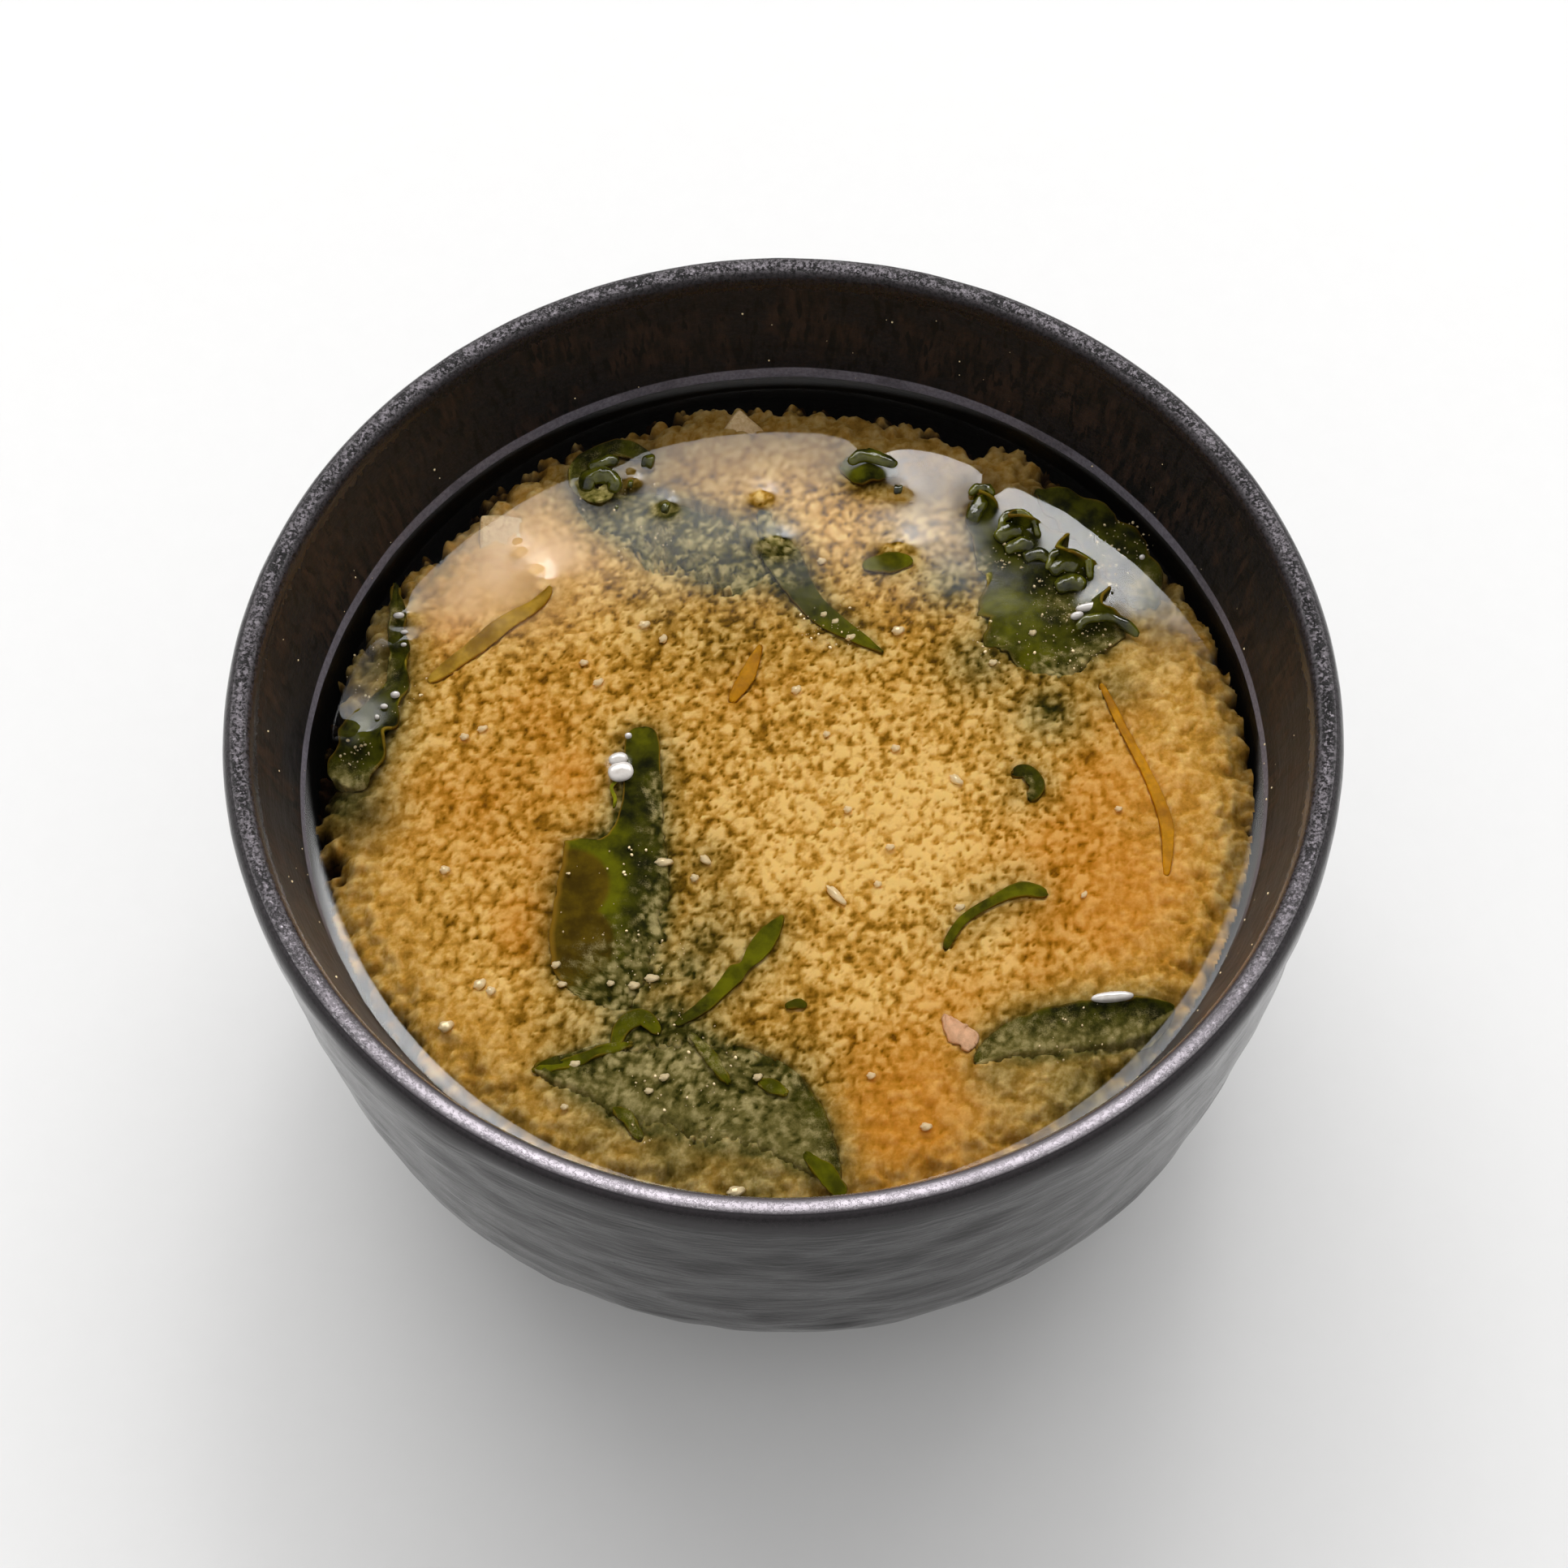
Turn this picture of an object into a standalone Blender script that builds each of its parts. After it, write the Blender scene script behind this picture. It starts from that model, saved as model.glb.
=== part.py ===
"""Miso soup in a dark glazed stoneware bowl.

The bowl stands on its foot ring with the origin at the centre of the foot, +Z up.
The broth fills it to 16 mm under the rim, with pieces of wakame seaweed, tofu and
a few strands and flakes floating in its surface. Each piece is a solid of its own,
and the broth has an open pocket round each, a small gap wider than the piece.
"""

from math import cos, pi, radians, sin

import bmesh
import bpy
from mathutils import Euler, Vector

MM = 0.001

# Bowl
BOWL_RADIUS = 60.0 * MM
BOWL_HEIGHT = 70.0 * MM
LIP_THICKNESS = 3.7 * MM
LIP_HEIGHT = 2.6 * MM
SHOULDER_RADIUS = 58.7 * MM
SHOULDER_HEIGHT = 34.0 * MM
FOOT_RADIUS = 31.0 * MM
FOOT_HEIGHT = 8.0 * MM
FOOT_BASE_RADIUS = 29.6 * MM
FOOT_WIDTH = 4.0 * MM
FOOT_EDGE = 0.9 * MM
FOOT_RECESS = 3.4 * MM
HOLLOW_RADIUS = 52.6 * MM
HOLLOW_BEND_HEIGHT = 36.0 * MM
HOLLOW_FLOOR_RADIUS = 20.0 * MM
HOLLOW_FLOOR_HEIGHT = 11.5 * MM
BOWL_STEPS = 64

# Broth
BROTH_LEVEL = 54.0 * MM
MENISCUS_RISE = 0.9 * MM
MENISCUS_WIDTH = 1.6 * MM
CONTACT_RADIUS = 53.45 * MM
BROTH_STEPS = 64
GAP = 0.3 * MM

# Seaweed and strands
SEAWEED_THICKNESS = 0.9 * MM
POCKET_HEADROOM = 3.0 * MM
RUFFLE_POWER = 1.6
SCALLOP_DEPTH = 0.13
SCALLOPED_FROM = 0.6

# Tofu blocks: side, tilt, and the direction in which the highest corner points
TOFU_CORNER_RADIUS = 49.3 * MM
TOFU_HEIGHT_SHARE = 0.6
TOFU_ROUNDING = 0.5 * MM
TOFU_TOP = 0.35 * MM
TOFU_BLOCKS = {
    "tofu_block_back": (9.0 * MM, radians(18.0), radians(95.2)),
    "tofu_block_left": (11.0 * MM, radians(3.0), radians(136.0)),
}


def clear_scene():
    for item in list(bpy.data.objects):
        bpy.data.objects.remove(item)


def material(name, colour, roughness, metallic=0.0):
    made = bpy.data.materials.new(name)
    made.use_nodes = True
    shader = made.node_tree.nodes["Principled BSDF"]
    shader.inputs["Base Color"].default_value = (*colour, 1.0)
    shader.inputs["Roughness"].default_value = roughness
    shader.inputs["Metallic"].default_value = metallic
    return made


def add_object(name, mesh, look=None):
    made = bpy.data.objects.new(name, mesh)
    bpy.context.scene.collection.objects.link(made)
    if look is not None:
        mesh.materials.append(look)
    return made


def ellipse_arc(centre, radii, start, end, steps):
    """Points (radius, height) on an ellipse, from one angle to another in degrees."""
    points = []
    for step in range(steps + 1):
        angle = radians(start + (end - start) * step / steps)
        across = centre[0] + radii[0] * cos(angle)
        up = centre[1] + radii[1] * sin(angle)
        points.append((across, up))
    return points


def turned(name, profile, steps, look):
    """A solid of revolution from an open profile that starts and ends on the axis."""
    mesh = bpy.data.meshes.new(name)
    edges = [(i, i + 1) for i in range(len(profile) - 1)]
    mesh.from_pydata([(r, 0.0, z) for r, z in profile], edges, [])
    made = add_object(name, mesh, look)
    screw = made.modifiers.new("Turn", "SCREW")
    screw.axis = "Z"
    screw.steps = steps
    screw.render_steps = steps
    screw.use_merge_vertices = True
    screw.merge_threshold = 0.00001
    screw.use_smooth_shade = True
    return made


def bowl_hollow():
    """The inside of the bowl, from the middle of its floor up to the lip."""
    bend = (HOLLOW_RADIUS - HOLLOW_FLOOR_RADIUS, HOLLOW_BEND_HEIGHT - HOLLOW_FLOOR_HEIGHT)
    centre = (HOLLOW_FLOOR_RADIUS, HOLLOW_BEND_HEIGHT)
    return [(0.0, HOLLOW_FLOOR_HEIGHT)] + ellipse_arc(centre, bend, -90, 0, 6)


def make_bowl(look):
    lip_middle = BOWL_RADIUS - LIP_THICKNESS / 2
    lip_base = BOWL_HEIGHT - LIP_HEIGHT
    lip = ellipse_arc((lip_middle, lip_base), (LIP_THICKNESS / 2, LIP_HEIGHT), 180, 0, 6)
    shoulder = (SHOULDER_RADIUS - FOOT_RADIUS, SHOULDER_HEIGHT - FOOT_HEIGHT)
    outside = ellipse_arc((FOOT_RADIUS, SHOULDER_HEIGHT), shoulder, 0, -90, 7)
    upright = (BOWL_RADIUS - 0.3 * MM, (lip_base + SHOULDER_HEIGHT) / 2)
    foot_inner = FOOT_BASE_RADIUS - FOOT_WIDTH
    foot = [
        (FOOT_BASE_RADIUS, FOOT_EDGE),
        (FOOT_BASE_RADIUS - FOOT_EDGE, 0.0),
        (foot_inner + FOOT_EDGE, 0.0),
        (foot_inner, FOOT_EDGE),
        (foot_inner - FOOT_EDGE, FOOT_RECESS),
        (0.0, FOOT_RECESS),
    ]
    profile = bowl_hollow() + [(CONTACT_RADIUS, BROTH_LEVEL + MENISCUS_RISE)]
    profile += lip + [upright] + outside + foot
    return turned("bowl", profile, BOWL_STEPS, look)


def make_broth(look):
    """The broth up to its level, with the rise at the wall, a gap inside the bowl."""
    contact = (CONTACT_RADIUS - GAP, BROTH_LEVEL + MENISCUS_RISE)
    flat_radius = contact[0] - MENISCUS_WIDTH
    top = [(0.0, BROTH_LEVEL)]
    for step in range(3):
        share = step / 3
        rise = MENISCUS_RISE * share**2
        top.append((flat_radius + MENISCUS_WIDTH * share, BROTH_LEVEL + rise))
    side = [(max(r - GAP, 0.0), z + GAP) for r, z in reversed(bowl_hollow())]
    return turned("broth", top + [contact] + side, BROTH_STEPS, look)


def catmull_rom(values, position):
    """The smooth curve through a list of equal-length tuples, at a place from 0 to 1."""
    last = len(values) - 1
    along = min(max(position, 0.0), 1.0) * last
    index = min(int(along), last - 1)
    t = along - index
    rows = [values[min(max(index + k, 0), last)] for k in (-1, 0, 1, 2)]
    result = []
    for a, b, c, d in zip(*rows):
        bend = (2 * a - 5 * b + 4 * c - d) * t**2 + (3 * b - a - 3 * c + d) * t**3
        result.append(0.5 * (2 * b + (c - a) * t + bend))
    return result


def ribbon_grid(stations, spread, scallops, lengthwise, crosswise):
    """Plan points of a leaf. Each station has x, y and its widths left and right, in mm."""
    rows = []
    for i in range(lengthwise + 1):
        place = i / lengthwise
        x, y, left, right = catmull_rom(stations, place)
        ahead = catmull_rom(stations, place + 0.01)
        behind = catmull_rom(stations, place - 0.01)
        heading = Vector((ahead[0] - behind[0], ahead[1] - behind[1])).normalized()
        reach = 0.0
        if i == 0:
            reach = -spread
        if i == lengthwise:
            reach = spread
        middle = Vector((x, y)) * MM + heading * reach
        normal = Vector((-heading.y, heading.x))
        row = []
        for j in range(crosswise + 1):
            side = 2 * j / crosswise - 1
            lobe = 1 + SCALLOP_DEPTH * sin(2 * pi * scallops * place + 2 * side)
            width = (left if side > 0 else right) * MM * lobe + spread
            row.append((middle + normal * side * width, place, side))
        rows.append(row)
    return rows


def slab(name, grid, low, high):
    """A closed solid over a plan grid, between two heights given as functions."""
    mesh = bpy.data.meshes.new(name)
    shape = bmesh.new()
    layers = []
    for height in (low, high):
        layers.append(
            [[shape.verts.new((*p, height(u, v))) for p, u, v in row] for row in grid]
        )
    under, over = layers
    lengthwise = len(grid) - 1
    crosswise = len(grid[0]) - 1
    for i in range(lengthwise):
        for j in range(crosswise):
            square = [(i, j), (i + 1, j), (i + 1, j + 1), (i, j + 1)]
            shape.faces.new([over[a][b] for a, b in square])
            shape.faces.new([under[a][b] for a, b in reversed(square)])
    rim = [(i, 0) for i in range(lengthwise)]
    rim += [(lengthwise, j) for j in range(crosswise)]
    rim += [(i, crosswise) for i in range(lengthwise, 0, -1)]
    rim += [(0, j) for j in range(crosswise, 0, -1)]
    for (a, b), (c, d) in zip(rim, rim[1:] + rim[:1]):
        shape.faces.new([under[a][b], under[c][d], over[c][d], over[a][b]])
    bmesh.ops.recalc_face_normals(shape, faces=shape.faces)
    shape.to_mesh(mesh)
    shape.free()
    return mesh


def cut_pocket(broth, name, mesh):
    cutter = add_object(name, mesh)
    cutter.hide_render = True
    cutter.display_type = "WIRE"
    pocket = broth.modifiers.new(name, "BOOLEAN")
    pocket.operation = "DIFFERENCE"
    pocket.object = cutter
    return cutter


def make_leaf(broth, name, look, stations, lift, ruffle, waves, grid_size):
    """A floating leaf with wavy edges, and its open pocket in the broth."""
    half = SEAWEED_THICKNESS / 2
    middle = BROTH_LEVEL + lift * MM

    def wave(place, side):
        rise = ruffle * MM * abs(side) ** RUFFLE_POWER
        return middle + rise * sin(2 * pi * waves * place + 2 * side)

    scallops = waves if ruffle > SCALLOPED_FROM else 0.0
    grid = ribbon_grid(stations, 0.0, scallops, *grid_size)
    mesh = slab(
        name,
        grid,
        lambda place, side: wave(place, side) - half,
        lambda place, side: wave(place, side) + half,
    )
    mesh.shade_smooth()
    mesh.set_sharp_from_angle(angle=radians(50.0))
    leaf = add_object(name, mesh, look)
    wide = ribbon_grid(stations, GAP, scallops, *grid_size)
    pocket = slab(
        name + "_pocket",
        wide,
        lambda place, side: wave(place, side) - half - GAP,
        lambda place, side: BROTH_LEVEL + POCKET_HEADROOM,
    )
    cut_pocket(broth, name + "_pocket", pocket)
    return leaf


def cube_mesh(name, size, rounding):
    mesh = bpy.data.meshes.new(name)
    shape = bmesh.new()
    bmesh.ops.create_cube(shape, size=1.0)
    bmesh.ops.scale(shape, vec=Vector(size), verts=shape.verts)
    if rounding > 0:
        edges = list(shape.edges)
        bmesh.ops.bevel(
            shape, geom=edges, offset=rounding, segments=2, affect="EDGES", profile=0.5
        )
    shape.to_mesh(mesh)
    shape.free()
    return mesh


def make_tofu(broth, name, look, side, tilt, azimuth):
    """A block with one top corner just out of the broth, pointing at the wall."""
    size = (side, side, side * TOFU_HEIGHT_SHARE)
    turn = Euler((tilt, 0.0, 0.0)).to_matrix()
    turn = Euler((0.0, 0.0, azimuth - pi / 2)).to_matrix() @ turn
    turn = turn @ Euler((0.0, 0.0, pi / 4)).to_matrix()
    corner = turn @ (Vector(size) / 2)
    place = Vector((cos(azimuth), sin(azimuth), 0.0)) * TOFU_CORNER_RADIUS
    place.z = BROTH_LEVEL + TOFU_TOP
    block = add_object(name, cube_mesh(name, size, TOFU_ROUNDING), look)
    wider = [width + 2 * GAP for width in size]
    cutter = cut_pocket(broth, name + "_pocket", cube_mesh(name + "_pocket", wider, 0.0))
    for item in (block, cutter):
        item.location = place - corner
        item.rotation_euler = turn.to_euler()
    return block


# Leaf stations: x, y, width to the left and to the right of the way along, in mm.
# Then the lift of the leaf's middle over the broth, the height of its ruffles in mm
# and their number, and the squares along and across. Highly ruffled leaves also
# have a scalloped outline.
SEAWEED = {
    "wakame_ruffled_right": (
        [
            (23.6, 35.6, 1.2, 1.2),
            (24.4, 31.2, 3.6, 2.4),
            (27.6, 26.2, 6.2, 4.6),
            (30.2, 20.6, 7.4, 7.4),
            (31.6, 15.2, 7.6, 7.0),
            (31.8, 10.8, 2.6, 3.4),
        ],
        0.0, 0.9, 5.0, (24, 4),
    ),
    "wakame_chip_back": (
        [(8.0, 40.2, 0.9, 0.9), (11.0, 40.0, 2.0, 2.2), (14.2, 39.2, 0.8, 0.8)],
        0.1, 0.3, 1.0, (6, 2),
    ),
    "wakame_curl_back": (
        [
            (-15.4, 42.8, 0.7, 0.7),
            (-19.6, 43.8, 0.9, 0.9),
            (-23.2, 42.0, 0.9, 0.9),
            (-24.0, 38.6, 0.8, 0.8),
            (-21.6, 36.2, 0.7, 0.7),
            (-19.2, 37.8, 0.5, 0.5),
        ],
        0.15, 0.25, 2.0, (15, 2),
    ),
    "wakame_ruffled_left": (
        [
            (-45.0, 25.0, 0.6, 0.6),
            (-44.2, 18.0, 1.0, 1.2),
            (-44.0, 11.0, 1.2, 1.6),
            (-46.4, 5.0, 2.4, 2.4),
            (-48.2, -1.6, 3.2, 2.8),
        ],
        0.0, 0.7, 4.0, (18, 2),
    ),
    "wakame_blade_centre": (
        [
            (-16.0, 4.8, 0.9, 0.9),
            (-16.0, 0.0, 2.2, 1.8),
            (-16.0, -7.0, 2.8, 1.6),
            (-16.6, -12.0, 3.8, 7.2),
            (-17.6, -18.0, 4.6, 7.4),
            (-17.8, -24.0, 4.4, 7.6),
            (-18.0, -28.6, 2.2, 3.2),
        ],
        -0.1, 0.25, 1.5, (16, 2),
    ),
    "wakame_tendril_front": (
        [
            (-11.6, -31.4, 0.4, 0.4),
            (-9.0, -29.6, 0.7, 0.6),
            (-5.0, -25.4, 0.8, 0.8),
            (-1.8, -21.8, 1.1, 1.0),
            (-0.4, -19.2, 0.3, 0.3),
        ],
        0.0, 0.2, 1.0, (10, 2),
    ),
    "wakame_fold_front": (
        [
            (-26.6, -36.8, 0.8, 0.8),
            (-18.0, -37.0, 3.6, 4.0),
            (-8.0, -38.6, 4.4, 5.0),
            (0.0, -43.0, 3.2, 3.6),
            (4.4, -49.6, 1.0, 1.0),
        ],
        -0.2, 0.5, 2.5, (16, 2),
    ),
    "wakame_leaf_right_front": (
        [
            (19.6, -36.4, 0.9, 0.9),
            (24.0, -34.0, 2.0, 2.4),
            (31.0, -33.4, 2.8, 3.2),
            (36.6, -32.6, 2.6, 2.8),
            (40.8, -31.0, 0.8, 0.9),
        ],
        0.0, 0.4, 1.5, (14, 2),
    ),
    "wakame_band_back": (
        [
            (-2.0, 33.6, 1.0, 1.0),
            (-0.8, 27.0, 2.0, 1.8),
            (4.2, 20.4, 1.6, 1.5),
            (11.6, 14.0, 0.5, 0.5),
        ],
        -0.1, 0.25, 1.5, (12, 2),
    ),
    "wakame_strand_right": (
        [
            (17.2, -23.0, 0.4, 0.4),
            (19.6, -20.0, 0.5, 0.5),
            (24.0, -17.2, 0.8, 0.7),
            (28.0, -16.4, 0.5, 0.5),
        ],
        0.0, 0.15, 1.0, (9, 2),
    ),
    "wakame_chip_middle": (
        [(10.0, 26.4, 0.7, 0.7), (12.6, 26.6, 1.3, 1.2), (15.4, 26.8, 0.6, 0.6)],
        0.1, 0.25, 1.0, (6, 2),
    ),
}

PALE_STRANDS = {
    "olive_strand_left": (
        [
            (-40.2, 11.8, 0.7, 0.7),
            (-36.0, 15.4, 0.9, 0.9),
            (-32.0, 19.0, 1.0, 1.0),
            (-28.6, 21.4, 0.8, 0.8),
            (-26.8, 23.8, 0.4, 0.4),
        ],
        0.0, 0.2, 1.0, (11, 2),
    ),
    "bonito_flake_centre": (
        [(-5.4, 8.6, 0.4, 0.4), (-4.0, 11.6, 0.9, 0.8), (-2.4, 15.2, 0.3, 0.3)],
        0.0, 0.15, 1.0, (7, 2),
    ),
}


def main():
    clear_scene()
    glaze = material("dark_glaze", (0.035, 0.030, 0.028), 0.32)
    soup = material("miso_broth", (0.46, 0.27, 0.09), 0.15)
    seaweed = material("wakame", (0.05, 0.08, 0.01), 0.3)
    strand = material("amber_strand", (0.35, 0.22, 0.03), 0.35)
    tofu = material("tofu", (0.75, 0.66, 0.46), 0.45)
    make_bowl(glaze)
    broth = make_broth(soup)
    for name, values in SEAWEED.items():
        make_leaf(broth, name, seaweed, *values)
    for name, values in PALE_STRANDS.items():
        make_leaf(broth, name, strand, *values)
    for name, values in TOFU_BLOCKS.items():
        make_tofu(broth, name, tofu, *values)


main()
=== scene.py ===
import math

import bmesh
import bpy
import numpy as np
from mathutils import Matrix, Vector


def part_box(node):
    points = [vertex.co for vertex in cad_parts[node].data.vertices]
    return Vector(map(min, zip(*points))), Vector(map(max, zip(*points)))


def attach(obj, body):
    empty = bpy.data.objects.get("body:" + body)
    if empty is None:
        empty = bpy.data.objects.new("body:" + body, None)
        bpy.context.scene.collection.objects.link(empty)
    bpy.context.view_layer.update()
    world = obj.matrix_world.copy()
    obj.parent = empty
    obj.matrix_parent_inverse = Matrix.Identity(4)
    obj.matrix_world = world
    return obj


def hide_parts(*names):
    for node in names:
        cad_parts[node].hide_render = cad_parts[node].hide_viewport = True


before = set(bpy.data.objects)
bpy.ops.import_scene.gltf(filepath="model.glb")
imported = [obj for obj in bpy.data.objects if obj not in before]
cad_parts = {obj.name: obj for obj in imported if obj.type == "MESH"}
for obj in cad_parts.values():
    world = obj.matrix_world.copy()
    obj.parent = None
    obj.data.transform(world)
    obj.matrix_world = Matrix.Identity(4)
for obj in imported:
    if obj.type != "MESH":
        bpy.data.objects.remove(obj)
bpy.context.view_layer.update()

MM = 0.001

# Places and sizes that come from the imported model
BOWL_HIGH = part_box("bowl")[1]
BOWL_RADIUS = BOWL_HIGH.x
BOWL_HEIGHT = BOWL_HIGH.z
MENISCUS_RISE = 0.9 * MM
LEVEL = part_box("broth")[1].z - MENISCUS_RISE
# The pale line on the wall over the level, a painted reflection of the meniscus: where it starts, is
# full, begins to end and ends
MENISCUS_SHEEN_BAND = (0.30 * MM, 0.45 * MM, 1.75 * MM, 1.95 * MM)

# Bowl, as in the CAD model
LIP_THICKNESS = 3.7 * MM
LIP_HEIGHT = 2.6 * MM
CONTACT_RADIUS = 53.45 * MM
HOLLOW_RADIUS = 52.6 * MM
HOLLOW_BEND_HEIGHT = 36.0 * MM
HOLLOW_FLOOR_RADIUS = 20.0 * MM
HOLLOW_FLOOR_HEIGHT = 11.5 * MM
SHOULDER_RADIUS = 58.7 * MM
SHOULDER_HEIGHT = 34.0 * MM
FOOT_RADIUS = 31.0 * MM
FOOT_HEIGHT = 8.0 * MM
FOOT_BASE_RADIUS = 29.6 * MM
FOOT_WIDTH = 4.0 * MM
FOOT_EDGE = 0.9 * MM
FOOT_RECESS = 3.4 * MM


# ---------------------------------------------------------------- numbers

def smoothstep(low, high, value):
    """A soft step from 0 at low to 1 at high."""
    share = np.clip((value - low) / (high - low), 0.0, 1.0)
    return share * share * (3 - 2 * share)


def chance(column, row, seed):
    """A repeatable number from 0 to 1 for each pair of whole numbers."""
    mixed = column.astype(np.int64) * 374761393 + row.astype(np.int64) * 668265263
    mixed = (mixed + seed * 974634777) & 0xFFFFFFFF
    mixed = ((mixed ^ (mixed >> 13)) * 1274126177) & 0xFFFFFFFF
    mixed = ((mixed ^ (mixed >> 15)) * 2246822519) & 0xFFFFFFFF
    return ((mixed ^ (mixed >> 16)) & 0xFFFFFF) / float(0xFFFFFF)


def value_noise(x, y, size, seed):
    """Smooth noise from -1 to 1 with bumps of about that size."""
    across, up = x / size, y / size
    column, row = np.floor(across), np.floor(up)
    s = smoothstep(0.0, 1.0, across - column)
    t = smoothstep(0.0, 1.0, up - row)
    low = chance(column, row, seed) * (1 - s) + chance(column + 1, row, seed) * s
    high = chance(column, row + 1, seed) * (1 - s) + chance(column + 1, row + 1, seed) * s
    return 2 * (low * (1 - t) + high * t) - 1


LAYER_WEIGHTS = (1.0, 0.5, 0.25)


def layered_noise(x, y, size, seed):
    """Value noise with finer layers on it, from -1 to 1."""
    total = 0.0
    for layer, weight in enumerate(LAYER_WEIGHTS):
        total = total + weight * value_noise(x, y, size / 2**layer, seed + layer)
    return total / sum(LAYER_WEIGHTS)


def near_cells(x, y, size, seed):
    """The jittered points round each place: distance and a number from 0 to 1 for each."""
    column, row = np.floor(x / size), np.floor(y / size)
    for across in (-1, 0, 1):
        for up in (-1, 0, 1):
            c, r = column + across, row + up
            cx = (c + 0.5 + 0.9 * (chance(c, r, seed) - 0.5)) * size
            cy = (r + 0.5 + 0.9 * (chance(c, r, seed + 1) - 0.5)) * size
            yield np.hypot(x - cx, y - cy), chance(c, r, seed + 2)


def curds(x, y, size, seed):
    """Soft round curds, 1 on the highest tops and 0 between them."""
    best = np.zeros(x.shape)
    for away, number in near_cells(x, y, size, seed):
        reach = size * (0.5 + 0.35 * number)
        top = 0.65 + 0.35 * np.abs(2 * number - 1)
        best = np.maximum(best, top * np.clip(1 - (away / reach) ** 2, 0, 1))
    return best


def pits(x, y, size, seed, share):
    """Small round wells, 1 in their middle, at a share of the jittered points."""
    deep = np.zeros(x.shape)
    for away, number in near_cells(x, y, size, seed):
        width = size * (0.12 + 0.13 * number)
        deep = np.maximum(deep, (number < share) * np.exp(-((away / width) ** 2)))
    return deep


def patch_weight(x, y, patches):
    """The strongest of several soft round patches: x, y, radius and strength, in mm."""
    total = np.zeros(np.shape(x))
    for px, py, radius, strength in patches:
        away = np.hypot(x / MM - px, y / MM - py) / radius
        total = np.maximum(total, strength * np.exp(-(away**2)))
    return total


def catmull_rom(values, places):
    """The smooth curve through rows of values, at an array of places from 0 to 1."""
    rows = np.array(values, float)
    last = len(rows) - 1
    along = np.clip(places, 0.0, 1.0) * last
    index = np.minimum(along.astype(int), last - 1)
    t = (along - index)[:, None]
    a, b, c, d = (rows[np.clip(index + k, 0, last)] for k in (-1, 0, 1, 2))
    bend = (2 * a - 5 * b + 4 * c - d) * t**2 + (3 * b - a - 3 * c + d) * t**3
    return 0.5 * (2 * b + (c - a) * t + bend)


# ---------------------------------------------------------------- meshes

def mesh_object(name, points, faces, look):
    """A new piece from arrays of points and of faces with one number of sides."""
    mesh = bpy.data.meshes.new(name)
    mesh.vertices.add(len(points))
    mesh.vertices.foreach_set("co", np.asarray(points, np.float32).ravel())
    faces = np.asarray(faces, np.int32)
    mesh.loops.add(faces.size)
    mesh.loops.foreach_set("vertex_index", faces.ravel())
    mesh.polygons.add(len(faces))
    starts = np.arange(0, faces.size, faces.shape[1], dtype=np.int32)
    mesh.polygons.foreach_set("loop_start", starts)
    mesh.update(calc_edges=True)
    mesh.validate()
    mesh.shade_smooth()
    mesh.materials.append(look)
    piece = bpy.data.objects.new(name, mesh)
    bpy.context.scene.collection.objects.link(piece)
    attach(piece, "root")
    return piece


def give(piece, name, values):
    """Stores one number for each point of the piece, for its material."""
    layer = piece.data.attributes.new(name, "FLOAT", "POINT")
    layer.data.foreach_set("value", np.asarray(values, np.float32))


def grid_faces(rows, columns, closed=False):
    """Four-sided faces between neighbouring rows of points, closed round each row or open."""
    i, j = np.meshgrid(np.arange(rows - 1), np.arange(columns - (not closed)), indexing="ij")
    k = (j + 1) % columns
    near, far = i * columns, (i + 1) * columns
    return np.stack([near + j, far + j, far + k, near + k], -1).reshape(-1, 4)


def close_holes(piece, chosen=None, outwards=True):
    """Fills the open edges of a piece, or the chosen ones, and turns its faces outwards."""
    shape = bmesh.new()
    shape.from_mesh(piece.data)
    edges = [e for e in shape.edges if e.is_boundary and (chosen is None or chosen(e))]
    bmesh.ops.holes_fill(shape, edges=edges, sides=0)
    if outwards:
        bmesh.ops.recalc_face_normals(shape, faces=shape.faces)
    shape.to_mesh(piece.data)
    shape.free()


def disc_grid(radius, spacing):
    """Points and faces of a round sheet of squares."""
    steps = int(radius / spacing) + 1
    ticks = np.arange(-steps, steps + 1) * spacing
    x, y = np.meshgrid(ticks, ticks)
    inside = x**2 + y**2 <= radius**2
    number = np.full(x.shape, -1)
    number[inside] = np.arange(inside.sum())
    corners = [number[:-1, :-1], number[:-1, 1:], number[1:, 1:], number[1:, :-1]]
    whole = np.logical_and.reduce([corner >= 0 for corner in corners])
    faces = np.stack([corner[whole] for corner in corners], axis=1)
    return x[inside], y[inside], faces


# ---------------------------------------------------------------- materials

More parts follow.
